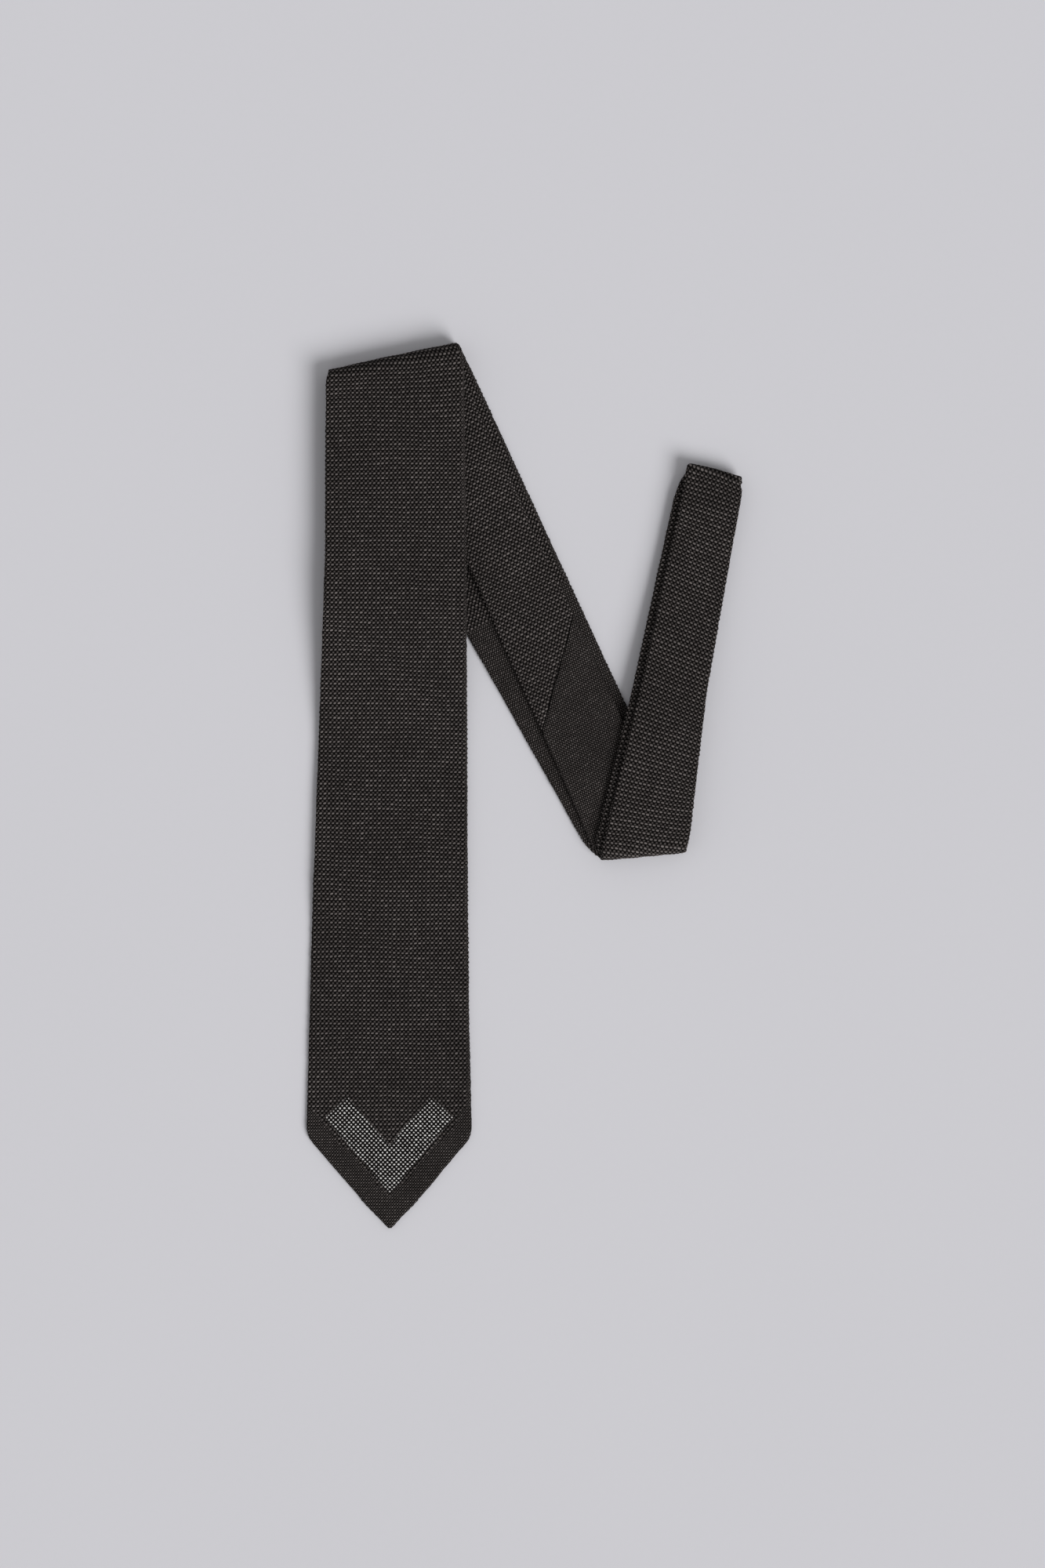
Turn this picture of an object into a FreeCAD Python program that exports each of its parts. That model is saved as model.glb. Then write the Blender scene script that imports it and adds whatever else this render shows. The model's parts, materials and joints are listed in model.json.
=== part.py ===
"""Gentleman's necktie, doubled at the neck and folded into a flat zigzag stack.

Frame: millimetres, +Z up, the table at Z = 0, the origin under the middle of the folded tie.
The tie is one long strap.  From its wide end it runs

    front blade - top crease - lower run - near bottom crease - near neck run - neck fold -
    far neck run - far bottom crease - upper run - tail crease - tail end

so four layers lie over each other at the top crease, and four at the bottom crease.
Each layer is an envelope of cloth round a strip of interlining, slip-stitched down the middle
of its back.
"""
import FreeCAD, Part
import Sketcher
import os

# ---------------------------------------------------------------- driving dimensions

DIMENSIONS = {
    # cross-section of the strap
    "strap_thickness": 2.6,
    "layer_gap": 0.5,
    "cloth_wall": 0.6,
    "interlining_cover": 0.9,
    "interlining_margin": 3.0,
    "seam_gap_width": 0.9,
    "thread_width": 0.5,
    "thread_cover": 0.05,
    "tipping_cover": 0.62,
    "tipping_thickness": 0.25,
    # top crease: the line that the front blade and the tail end turn about
    "top_left_x": -98.0,
    "top_left_y": 198.5,
    "top_right_x": -30.6,
    "top_right_y": 212.9,
    "tail_top_left_x": -76.0,
    "tail_top_right_x": -36.5,
    # bottom crease: the line that the neck loop turns about
    "bottom_left_x": 31.0,
    "bottom_left_y": -32.1,
    "bottom_right_x": 80.4,
    "bottom_right_y": -27.5,
    "near_bottom_left_x": 38.0,
    "far_bottom_left_x": 34.0,
    "far_bottom_right_x": 75.5,
    # neck fold: the middle of the tie
    "neck_left_x": 79.5,
    "neck_left_y": 156.5,
    "neck_right_x": 107.5,
    "neck_right_y": 149.1,
    # shoulders of the neck fold, where each run leaves its rounded corner
    "near_shoulder_y": 140.0,
    "near_shoulder_left_x": 77.0,
    "near_shoulder_right_x": 105.9,
    "far_shoulder_y": 146.0,
    "far_shoulder_left_x": 74.6,
    "far_shoulder_right_x": 105.0,
    # waist of the neck loop, where its two runs are narrowest but for the fold
    "waist_y": 50.0,
    "near_waist_left_x": 57.5,
    "near_waist_right_x": 89.8,
    "far_waist_left_x": 53.5,
    "far_waist_right_x": 86.5,
    "upper_run_bend_left_x": -27.8,
    "upper_run_bend_right_x": 12.0,
    "upper_run_bend_y": 107.8,
    # front blade
    "blade_upper_y": 115.0,
    "blade_upper_left_x": -98.3,
    "blade_upper_right_x": -29.3,
    "blade_lower_y": -60.0,
    "blade_lower_left_x": -104.8,
    "blade_lower_right_x": -28.6,
    "blade_opening_y": -118.0,
    "blade_opening_left_x": -106.4,
    "blade_opening_right_x": -27.9,
    "blade_shoulder_y": -172.0,
    "blade_shoulder_left_x": -107.8,
    "blade_shoulder_right_x": -26.7,
    "blade_tip_x": -66.9,
    "blade_tip_y": -218.8,
    "blade_hem": 10.0,
    "opening_overlap": 1.5,
    "tipping_top_y": -100.0,
    # tail end
    "tail_opening_y": 150.0,
    "tail_shoulder_y": 116.0,
    "tail_left_x": -77.5,
    "tail_right_x": -37.5,
    "tail_tip_x": -57.5,
    "tail_tip_y": 96.0,
    "tail_hem": 6.0,
    "tail_tipping_top_y": 165.0,
    # slope of the blade from the stack down to the table, with a rest over the keeper
    "blade_slope_top_y": 92.0,
    "blade_slope_foot_y": 24.0,
    "keeper_rise": 1.5,
    "keeper_slope_top_y": -46.0,
    "keeper_slope_foot_y": -76.0,
    # slope of the neck loop from the stack down to its fold, which stays off the table
    "neck_slope_top_y": 38.0,
    "neck_slope_foot_y": 105.0,
    "neck_rise": 3.0,
    "crease_relief_angle": 3.0,
    # cross seams, given by two points just outside the strap
    "front_join_left_x": -76.0,
    "front_join_left_y": 142.8,
    "front_join_right_x": -24.0,
    "front_join_right_y": 216.1,
    "tail_join_left_x": 4.0,
    "tail_join_left_y": 20.2,
    "tail_join_right_x": 27.4,
    "tail_join_right_y": 87.6,
    # keeper loop, label and their stitches
    "keeper_width": 12.0,
    "keeper_length": 44.0,
    "keeper_y": -28.0,
    "keeper_thickness": 1.35,
    "keeper_slot_height": 0.55,
    "keeper_end": 2.5,
    "label_length": 42.0,
    "label_width": 20.0,
    "label_y": -10.0,
    "label_thickness": 0.3,
    "label_corner": 1.5,
    "stitch_length": 3.0,
    "stitch_width": 0.6,
    "bar_tack_length": 5.0,
    "bar_tack_width": 1.2,
    "bar_tack_drop": 5.5,
    "beyond": 260.0,
}

doc = FreeCAD.newDocument("Necktie")
dims = doc.addObject("Spreadsheet::Sheet", "dims")


def fill_sheet():
    """One row for each driving dimension: its name, and its value with that name as alias."""
    for row, (name, value) in enumerate(DIMENSIONS.items(), start=1):
        dims.set(f"A{row}", name)
        dims.set(f"B{row}", str(value))
        dims.setAlias(f"B{row}", name)
    doc.recompute()


def d(name):
    """Expression for one cell of the sheet."""
    return f"dims.{name}"


def layer(number):
    """Expression for the height of the underside of a layer; layer 0 lies on the table."""
    return f"({number} * (dims.strap_thickness + dims.layer_gap))"


def value_of(expression):
    """Number that an expression gives, in millimetres."""
    return float(dims.evalExpression(expression))


# ---------------------------------------------------------------- building blocks

def polygon(sketch, corners):
    """Closed polygon in a sketch, each corner held by expressions for its two coordinates."""
    points = [FreeCAD.Vector(value_of(across), value_of(along), 0) for across, along in corners]
    count = len(points)
    for index in range(count):
        sketch.addGeometry(Part.LineSegment(points[index], points[(index + 1) % count]), False)
    for index in range(count):
        following = (index + 1) % count
        sketch.addConstraint(Sketcher.Constraint("Coincident", index, 2, following, 1))
    for index, (across, along) in enumerate(corners):
        place = points[index]
        number = sketch.addConstraint(Sketcher.Constraint("DistanceX", -1, 1, index, 1, place.x))
        sketch.setExpression(f"Constraints[{number}]", across)
        number = sketch.addConstraint(Sketcher.Constraint("DistanceY", -1, 1, index, 1, place.y))
        sketch.setExpression(f"Constraints[{number}]", along)


def prism(name, corners, bottom, top):
    """Upright prism over a polygon in plan, from one height to another."""
    sketch = doc.addObject("Sketcher::SketchObject", name + "_outline")
    polygon(sketch, corners)
    sketch.setExpression("Placement.Base.z", bottom)
    solid = doc.addObject("Part::Extrusion", name + "_prism")
    solid.Base = sketch
    solid.DirMode = "Custom"
    solid.Dir = FreeCAD.Vector(0, 0, 1)
    solid.Solid = True
    solid.setExpression("LengthFwd", f"{top} - {bottom}")
    return solid


def band(name, stations, low, high):
    """Slab that follows a side profile, endless across the strap.

    stations are (along, height) pairs for the underside of the strap; low and high are the
    slab's faces above that underside.
    """
    lower = [(along, f"{height} + {low}") for along, height in stations]
    upper = [(along, f"{height} + {high}") for along, height in reversed(stations)]
    sketch = doc.addObject("Sketcher::SketchObject", name + "_profile")
    polygon(sketch, lower + upper)
    facing_x = FreeCAD.Rotation(FreeCAD.Vector(1, 1, 1), 120)
    sketch.Placement = FreeCAD.Placement(FreeCAD.Vector(0, 0, 0), facing_x)
    slab = doc.addObject("Part::Extrusion", name + "_band")
    slab.Base = sketch
    slab.DirMode = "Custom"
    slab.Dir = FreeCAD.Vector(1, 0, 0)
    slab.Solid = True
    slab.Symmetric = True
    slab.setExpression("LengthFwd", d("beyond"))
    return slab


def pair(kind, name, base, tool):
    """Part boolean of two objects: kind is Cut or Common."""
    result = doc.addObject("Part::" + kind, name)
    result.Base = base
    result.Tool = tool
    return result


def fuse(name, shapes):
    """Union of several objects."""
    result = doc.addObject("Part::MultiFuse", name)
    result.Shapes = shapes
    return result


def half_tube(name, start, end, outer, inner, sweep):
    """Half a tube round a crease from start to end, bulging to the left of that direction."""
    along = f"atan2({end[1]} - {start[1]}; {end[0]} - {start[0]})"
    place = (
        f"placement(vector({start[0]}; {start[1]}; {start[2]});"
        f" rotation(vector(0; 0; 1); {along}) * rotation(vector(0; 1; 0); 90))"
    )
    rolls = []
    for part_name, radius in (("outer", outer), ("inner", inner)):
        roll = doc.addObject("Part::Cylinder", f"{name}_{part_name}")
        roll.setExpression("Radius", radius)
        roll.setExpression("Height", f"hypot({end[0]} - {start[0]}; {end[1]} - {start[1]})")
        roll.setExpression("Angle", sweep)
        roll.setExpression("Placement", place)
        rolls.append(roll)
    return pair("Cut", name, rolls[0], rolls[1])


def slab_body(name, centre, length, width, bottom, thickness, corner=None):
    """PartDesign body of a small flat plate, its corners rounded when corner is given."""
    body = doc.addObject("PartDesign::Body", name)
    base_plane = next(f for f in body.Origin.OriginFeatures if f.Role == "XY_Plane")
    sketch = body.newObject("Sketcher::SketchObject", name + "_outline")
    sketch.AttachmentSupport = (base_plane, [""])
    sketch.MapMode = "FlatFace"
    left, right = f"-0.5 * {length}", f"0.5 * {length}"
    near, far = f"-0.5 * {width}", f"0.5 * {width}"
    polygon(sketch, [(left, near), (right, near), (right, far), (left, far)])
    pad = body.newObject("PartDesign::Pad", name + "_pad")
    pad.Profile = sketch
    pad.setExpression("Length", thickness)
    body.setExpression("Placement.Base.x", centre[0])
    body.setExpression("Placement.Base.y", centre[1])
    body.setExpression("Placement.Base.z", bottom)
    doc.recompute()
    if corner:
        upright = [
            f"Edge{number}"
            for number, edge in enumerate(pad.Shape.Edges, start=1)
            if abs(edge.tangentAt(edge.FirstParameter).z) > 0.9
        ]
        fillet = body.newObject("PartDesign::Fillet", name + "_fillet")
        fillet.Base = (pad, upright)
        fillet.setExpression("Radius", corner)
    return body


PIECES = {}


def piece(name, thing):
    """Mark an object of the document as a finished sub-part; its label names its file."""
    thing.Label = name
    PIECES[name] = thing
    return thing


# ---------------------------------------------------------------- plan of the strap

def on_top_crease(across):
    """Height in plan of the top crease at a place across it."""
    slope = "(dims.top_right_y - dims.top_left_y) / (dims.top_right_x - dims.top_left_x)"
    return f"(dims.top_left_y + ({across} - dims.top_left_x) * {slope})"


def on_bottom_crease(across):
    """Height in plan of the bottom crease at a place across it."""
    rise = "(dims.bottom_right_y - dims.bottom_left_y)"
    run = "(dims.bottom_right_x - dims.bottom_left_x)"
    return f"(dims.bottom_left_y + ({across} - dims.bottom_left_x) * {rise} / {run})"


def on_neck_fold(across):
    """Height in plan of the neck fold at a place across it."""
    slope = "(dims.neck_right_y - dims.neck_left_y) / (dims.neck_right_x - dims.neck_left_x)"
    return f"(dims.neck_left_y + ({across} - dims.neck_left_x) * {slope})"


def level(along):
    """Edge place at one fixed distance along the tie, whatever the place across it."""
    return lambda across: along


# Each stretch lists its two edges from station to station: (left, right, place along).
BLADE = [
    (d("top_left_x"), d("top_right_x"), on_top_crease),
    (d("blade_upper_left_x"), d("blade_upper_right_x"), level(d("blade_upper_y"))),
    (d("blade_lower_left_x"), d("blade_lower_right_x"), level(d("blade_lower_y"))),
    (d("blade_opening_left_x"), d("blade_opening_right_x"), level(d("blade_opening_y"))),
    (d("blade_shoulder_left_x"), d("blade_shoulder_right_x"), level(d("blade_shoulder_y"))),
]
BLADE_TIP = (d("blade_tip_x"), d("blade_tip_y"))
LOWER_RUN = [
    (d("top_left_x"), d("top_right_x"), on_top_crease),
    (d("bottom_left_x"), d("bottom_right_x"), on_bottom_crease),
]
NEAR_NECK_RUN = [
    (d("neck_left_x"), d("neck_right_x"), on_neck_fold),
    (d("near_shoulder_left_x"), d("near_shoulder_right_x"), level(d("near_shoulder_y"))),
    (d("near_waist_left_x"), d("near_waist_right_x"), level(d("waist_y"))),
    (d("near_bottom_left_x"), d("bottom_right_x"), on_bottom_crease),
]
FAR_NECK_RUN = [
    (d("neck_left_x"), d("neck_right_x"), on_neck_fold),
    (d("far_shoulder_left_x"), d("far_shoulder_right_x"), level(d("far_shoulder_y"))),
    (d("far_waist_left_x"), d("far_waist_right_x"), level(d("waist_y"))),
    (d("far_bottom_left_x"), d("far_bottom_right_x"), on_bottom_crease),
]
UPPER_RUN = [
    (d("tail_top_left_x"), d("tail_top_right_x"), on_top_crease),
    (d("upper_run_bend_left_x"), d("upper_run_bend_right_x"), level(d("upper_run_bend_y"))),
    (d("far_bottom_left_x"), d("far_bottom_right_x"), on_bottom_crease),
]
TAIL = [
    (d("tail_top_left_x"), d("tail_top_right_x"), on_top_crease),
    (d("tail_left_x"), d("tail_right_x"), level(d("tail_opening_y"))),
    (d("tail_left_x"), d("tail_right_x"), level(d("tail_shoulder_y"))),
]
TAIL_TIP = (d("tail_tip_x"), d("tail_tip_y"))


def outline(stretch, inset="0", tip=None):
    """Corners of a stretch seen from above, its edges drawn in by inset, its creases not."""
    left = [(f"({x} + {inset})", y) for x, _, y in stretch]
    right = [(f"({x} - {inset})", y) for _, x, y in stretch]
    corners = [(x, y(x)) for x, y in left]
    if tip:
        corners.append((tip[0], f"({tip[1]} + 1.4 * {inset})"))
    corners += [(x, y(x)) for x, y in reversed(right)]
    return corners


def centre_strip(stretch, width):
    """Corners of a strip of the given width down the middle of a stretch."""
    middles = [(f"0.5 * ({left} + {right})", y) for left, right, y in stretch]
    corners = [(f"({x} - 0.5 * {width})", y(f"({x})")) for x, y in middles]
    corners += [(f"({x} + 0.5 * {width})", y(f"({x})")) for x, y in reversed(middles)]
    return corners


def opening(stretch, tip, hem):
    """Corners of the opening at the back of a pointed end, where the tipping shows."""
    left, right, along = stretch[-2]
    apex = f"0.5 * ({left} + {right})"
    shoulder_left, shoulder_right, shoulder = stretch[-1]
    return [
        (apex, f"({along(apex)} + dims.opening_overlap)"),
        (f"({shoulder_left} + {hem})", shoulder("0")),
        (tip[0], f"({tip[1]} + 1.4 * {hem})"),
        (f"({shoulder_right} - {hem})", shoulder("0")),
    ]


# ---------------------------------------------------------------- side profiles

NEAR_END = "(-dims.beyond)"
FAR_END = "dims.beyond"
BLADE_PROFILE = [
    (NEAR_END, "0"),
    (d("keeper_slope_foot_y"), "0"),
    (d("keeper_slope_top_y"), d("keeper_rise")),
    (d("blade_slope_foot_y"), d("keeper_rise")),
    (d("blade_slope_top_y"), layer(3)),
    (FAR_END, layer(3)),
]


def neck_profile(upper, lower):
    """Side profile of one run of the neck loop, from the stack down to its fold."""
    foot = f"({layer(lower)} + dims.neck_rise)"
    return [
        (NEAR_END, layer(upper)),
        (d("neck_slope_top_y"), layer(upper)),
        (d("neck_slope_foot_y"), foot),
        (FAR_END, foot),
    ]


NEAR_PROFILE = neck_profile(3, 1)
FAR_PROFILE = neck_profile(2, 0)
WALL = d("cloth_wall")
COVER = d("interlining_cover")
MARGIN = d("interlining_margin")
THICKNESS = d("strap_thickness")
TOP_OF_CAVITY = f"({THICKNESS} - {WALL})"
TOP_OF_LINING = f"({THICKNESS} - {COVER})"
THREAD_FACE = f"({WALL} - {d('thread_cover')})"


class Run:
    """One straight stretch of the strap; the same cuts serve flat and sloping stretches."""

    def __init__(self, name, stretch, profile, back_is_up, tip=None):
        self.name = name
        self.stretch = stretch
        self.profile = profile
        self.back_is_up = back_is_up
        self.tip = tip

    def slab(self, part, corners, low, high):
        """The part of the stretch inside a polygon and between two faces of the strap."""
        name = f"{self.name}_{part}"
        if isinstance(self.profile, str):
            return prism(name, corners, f"({self.profile} + {low})", f"({self.profile} + {high})")
        column = prism(name, corners, "(-1 mm)", "20 mm")
        return pair("Common", name, column, band(name, self.profile, low, high))

    def back_slab(self, part, corners, low, high):
        """As slab, but low and high count inwards from the back face of the strap."""
        if self.back_is_up:
            low, high = f"({THICKNESS} - {high})", f"({THICKNESS} - {low})"
        return self.slab(part, corners, low, high)

    def envelope(self):
        """Outer shape of the strap."""
        return self.slab("envelope", outline(self.stretch, tip=self.tip), "0", THICKNESS)

    def cavity(self):
        """Room inside the cloth."""
        corners = outline(self.stretch, WALL, self.tip)
        return self.slab("cavity", corners, WALL, TOP_OF_CAVITY)

    def seam_gap(self):
        """Slit down the back, between the two folded edges of the cloth."""
        corners = centre_strip(self.stretch, d("seam_gap_width"))
        return self.back_slab("seam_gap", corners, "(-0.05)", f"({WALL} + 0.05)")

    def interlining(self):
        """Strip of interlining inside the cloth."""
        corners = outline(self.stretch, MARGIN, self.tip)
        return self.slab("interlining", corners, COVER, TOP_OF_LINING)

    def slip_stitch(self):
        """Thread that lies in the slit and holds the two folded edges together."""
        corners = centre_strip(self.stretch, d("thread_width"))
        return self.back_slab("slip_stitch", corners, d("thread_cover"), THREAD_FACE)

    def cloth(self, extra_cuts=()):
        """The folded cloth: the envelope without the room inside it and the slit."""
        room = fuse(self.name + "_room", [self.cavity(), self.seam_gap(), *extra_cuts])
        return pair("Cut", self.name + "_cloth", self.envelope(), room)


# ---------------------------------------------------------------- the pieces

def split_at_join(cloth, join, far_corners, beyond_name, near_name):
    """Divide a run's cloth at a cross seam into the two cloths that are sewn there."""
    left = (d(join + "_left_x"), d(join + "_left_y"))
    right = (d(join + "_right_x"), d(join + "_right_y"))
    side = prism(join + "_side", [left, right, *far_corners], "(-5 mm)", "30 mm")
    piece(beyond_name, pair("Common", beyond_name, cloth, side))
    piece(near_name, pair("Cut", near_name, cloth, side))


def lower_run():
    """Lowest layer, on the table, its back up."""
    run = Run("lower_run", LOWER_RUN, layer(0), back_is_up=True)
    far_corners = [
        (d("front_join_right_x"), FAR_END),
        ("(dims.top_left_x - 20)", FAR_END),
        ("(dims.top_left_x - 20)", d("front_join_left_y")),
    ]
    names = ("front_cloth_lower_run", "neck_cloth_lower_run")
    split_at_join(run.cloth(), "front_join", far_corners, *names)
    piece("interlining_lower_run", run.interlining())
    piece("slip_stitch_lower_run", run.slip_stitch())


def upper_run():
    """Second layer, its front up; the visible cross seam divides its cloth."""
    run = Run("upper_run", UPPER_RUN, layer(1), back_is_up=False)
    far_corners = [
        (d("tail_join_right_x"), FAR_END),
        ("(dims.top_left_x - 20)", FAR_END),
        ("(dims.top_left_x - 20)", d("tail_join_left_y")),
    ]
    names = ("tail_cloth_upper_run", "neck_cloth_upper_run")
    split_at_join(run.cloth(), "tail_join", far_corners, *names)
    piece("interlining_upper_run", run.interlining())
    piece("slip_stitch_upper_run", run.slip_stitch())


OUTER_CREASE_HEIGHT = f"(0.5 * ({layer(3)} + {THICKNESS}))"
OUTER_CREASE_RADIUS = OUTER_CREASE_HEIGHT
INNER_CREASE_RADIUS = f"({THICKNESS} + 0.5 * dims.layer_gap)"
CREASE_SWEEP = "180 - dims.crease_relief_angle"


def crease(name, on_line, start_x, end_x, radius):
    """Bend of the strap at a crease, from start to end, bulging to the left."""
    start = (start_x, on_line(start_x), OUTER_CREASE_HEIGHT)
    end = (end_x, on_line(end_x), OUTER_CREASE_HEIGHT)
    inner = f"{radius} - {THICKNESS}"
    piece(name, half_tube(name, start, end, radius, inner, CREASE_SWEEP))


def creases():
    """The four bends that flex when the tie is unfolded."""
    crease("front_cloth_crease", on_top_crease,
           d("top_left_x"), d("top_right_x"), OUTER_CREASE_RADIUS)
    crease("tail_cloth_crease", on_top_crease,
           d("tail_top_left_x"), d("tail_top_right_x"), INNER_CREASE_RADIUS)
    crease("neck_cloth_outer_crease", on_bottom_crease,
           d("bottom_right_x"), d("near_bottom_left_x"), OUTER_CREASE_RADIUS)
    crease("neck_cloth_inner_crease", on_bottom_crease,
           d("far_bottom_right_x"), d("far_bottom_left_x"), INNER_CREASE_RADIUS)


def neck_bend(name, inset, cover):
    """Half tube at the neck fold, drawn in from the strap's edges and faces."""
    start_x = f"({d('neck_left_x')} + {inset})"
    end_x = f"({d('neck_right_x')} - {inset})"
    middle = f"({INNER_CREASE_RADIUS} + dims.neck_rise)"
    start = (start_x, on_neck_fold(start_x), middle)
    end = (end_x, on_neck_fold(end_x), middle)
    outer = f"{INNER_CREASE_RADIUS} - {cover}"
    inner = f"{INNER_CREASE_RADIUS} - {THICKNESS} + {cover}"
    return half_tube(name, start, end, outer, inner, "180")


def neck_loop():
    """The doubled middle of the tie: two runs joined by the fold at the neck."""
    near = Run("near_neck_run", NEAR_NECK_RUN, NEAR_PROFILE, back_is_up=False)
    far = Run("far_neck_run", FAR_NECK_RUN, FAR_PROFILE, back_is_up=True)
    whole = fuse("neck_loop_envelope",
                 [near.envelope(), far.envelope(), neck_bend("neck_bend_envelope", "0", "0")])
    room = fuse("neck_loop_room",
                [near.cavity(), far.cavity(), neck_bend("neck_bend_cavity", WALL, WALL),
                 near.seam_gap(), far.seam_gap()])
    piece("neck_cloth_loop", pair("Cut", "neck_cloth_loop", whole, room))
    lining = fuse("interlining_neck_loop",
                  [near.interlining(), far.interlining(),
                   neck_bend("neck_bend_lining", MARGIN, COVER)])
    piece("interlining_neck_loop", lining)
    piece("slip_stitch_near_neck_run", near.slip_stitch())
    piece("slip_stitch_far_neck_run", far.slip_stitch())


def tipping(run, name, top_y, margin):
    """Lining sewn behind a pointed end, seen through the opening in the back."""
    left, right, shoulder = run.stretch[-1]
    corners = [
        (f"({left} + {margin})", top_y),
        (f"({left} + {margin})", shoulder("0")),
        (run.tip[0], f"({run.tip[1]} + 1.4 * {margin})"),
        (f"({right} - {margin})", shoulder("0")),
        (f"({right} - {margin})", top_y),
    ]
    low = d("tipping_cover")
    piece(name, run.back_slab(name, corners, low, f"({low} + dims.tipping_thickness)"))


def bar_tack(run, name, bottom):
    """Short thread bar across the top of the opening in the back."""
    left, right, along = run.stretch[-2]
    centre = (f"0.5 * ({left} + {right})", f"{along('0')} - dims.bar_tack_drop")
    height = f"{WALL} - 2 * dims.thread_cover"
    size = (d("bar_tack_length"), d("bar_tack_width"))
    piece(name, slab_body(name, centre, *size, bottom, height))


BLADE_CENTRE = "0.5 * (dims.blade_lower_left_x + dims.blade_lower_right_x)"


def keeper():
    """Cloth band across the back of the blade, tacked at both ends, for the tail end."""
    centre = (BLADE_CENTRE, d("keeper_y"))
    bottom = "dims.thread_cover"
    size = (d("keeper_length"), d("keeper_width"))
    whole = slab_body("keeper_band", centre, *size, bottom, d("keeper_thickness"))
    slot_bottom = f"{bottom} + dims.keeper_thickness - dims.keeper_slot_height"
    slot_size = (f"({size[0]} - 2 * dims.keeper_end)", f"({size[1]} + 2)")
    slot = slab_body("keeper_slot", centre, *slot_size, slot_bottom, "dims.keeper_slot_height + 1")
    piece("keeper_loop", pair("Cut", "keeper_loop", whole, slot))
    tacks = []
    for side, sign in (("left", "-"), ("right", "+")):
        reach = "0.5 * dims.keeper_length + dims.stitch_width"
        place = (f"{BLADE_CENTRE} {sign} ({reach})", centre[1])
        size = (d("stitch_width"), f"({d('keeper_width')} - 4)")
        height = "dims.keeper_rise - 4 * dims.thread_cover"
        tacks.append(slab_body(f"keeper_tack_{side}", place, *size, bottom, height))
    group = doc.addObject("Part::Compound", "keeper_tacks")
    group.Links = tacks
    piece("keeper_tacks", group)


def label():
    """Blank woven label on the back of the blade, with a stitch at each corner."""
    bottom = "dims.keeper_rise - dims.thread_cover - dims.label_thickness"
    centre = (BLADE_CENTRE, d("label_y"))
    size = (d("label_length"), d("label_width"))
    thickness = d("label_thickness")
    piece("blank_label", slab_body("blank_label", centre, *size, bottom, thickness,
                                   d("label_corner")))
    stitches = []
    for across in ("-", "+"):
        for along in ("-", "+"):
            place = (f"{BLADE_CENTRE} {across} (0.5 * dims.label_length - 4)",
                     f"{centre[1]} {along} (0.5 * dims.label_width - 2)")
            size = (d("stitch_length"), d("stitch_width"))
            height = "4 * dims.thread_cover"
            under = f"{bottom} - 5 * dims.thread_cover"
            name = f"label_stitch_{len(stitches)}"
            stitches.append(slab_body(name, place, *size, under, height))
    group = doc.addObject("Part::Compound", "label_stitches")
    group.Links = stitches
    piece("label_stitches", group)


def front_blade():
    """Wide end: top layer of the stack, sloping down to the table, its front up."""
    run = Run("front_blade", BLADE, BLADE_PROFILE, back_is_up=False, tip=BLADE_TIP)
    seam = Run("front_blade_seam", BLADE[:-1], BLADE_PROFILE, back_is_up=False)
    hollow = run.back_slab("opening", opening(BLADE, BLADE_TIP, d("blade_hem")),
                           "(-0.05)", f"({WALL} + 0.05)")
    room = fuse("front_blade_room", [run.cavity(), seam.seam_gap(), hollow])
    piece("front_cloth_blade", pair("Cut", "front_cloth_blade", run.envelope(), room))
    piece("interlining_blade", run.interlining())
    piece("slip_stitch_blade", seam.slip_stitch())
    tipping(run, "front_tipping", d("tipping_top_y"), "(0.6 * dims.blade_hem)")
    bar_tack(run, "front_bar_tack", "dims.thread_cover")
    keeper()
    label()


def tail_end():
    """Narrow end: third layer, under the blade, its back up."""
    run = Run("tail_end", TAIL, layer(2), back_is_up=True, tip=TAIL_TIP)
    seam = Run("tail_end_seam", TAIL[:-1], layer(2), back_is_up=True)
    hollow = run.back_slab("opening", opening(TAIL, TAIL_TIP, d("tail_hem")),
                           "(-0.05)", f"({WALL} + 0.05)")
    room = fuse("tail_end_room", [run.cavity(), seam.seam_gap(), hollow])
    piece("tail_cloth_end", pair("Cut", "tail_cloth_end", run.envelope(), room))
    piece("interlining_tail_end", run.interlining())
    piece("slip_stitch_tail_end", seam.slip_stitch())
    tipping(run, "tail_tipping", d("tail_tipping_top_y"), "(0.6 * dims.tail_hem)")
    bar_tack(run, "tail_bar_tack", f"{layer(2)} + {TOP_OF_CAVITY} + dims.thread_cover")


# ---------------------------------------------------------------- check and write

def faults():
    """Objects that failed, and sub-parts with no sound shape."""
    failed = [thing.Name for thing in doc.Objects if {"Invalid", "Error"} & set(thing.State)]
    for name, thing in PIECES.items():
        if thing.Shape.isNull() or not thing.Shape.isValid() or not thing.Shape.Solids:
            failed.append(name)
    return failed


def main():
    fill_sheet()
    lower_run()
    upper_run()
    creases()
    neck_loop()
    front_blade()
    tail_end()
    doc.recompute()
    failed = faults()
    if failed:
        raise RuntimeError("these objects failed: " + ", ".join(failed))
    os.makedirs("parts", exist_ok=True)
    for name, thing in PIECES.items():
        thing.Shape.exportStep(os.path.join("parts", name + ".step"))
        box = thing.Shape.BoundBox
        print(f"{name:28s} {len(thing.Shape.Solids)} solid(s)  {thing.Shape.Volume:9.1f} mm3  "
              f"z {box.ZMin:6.2f} to {box.ZMax:6.2f}")


main()
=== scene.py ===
import json
import math

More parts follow.
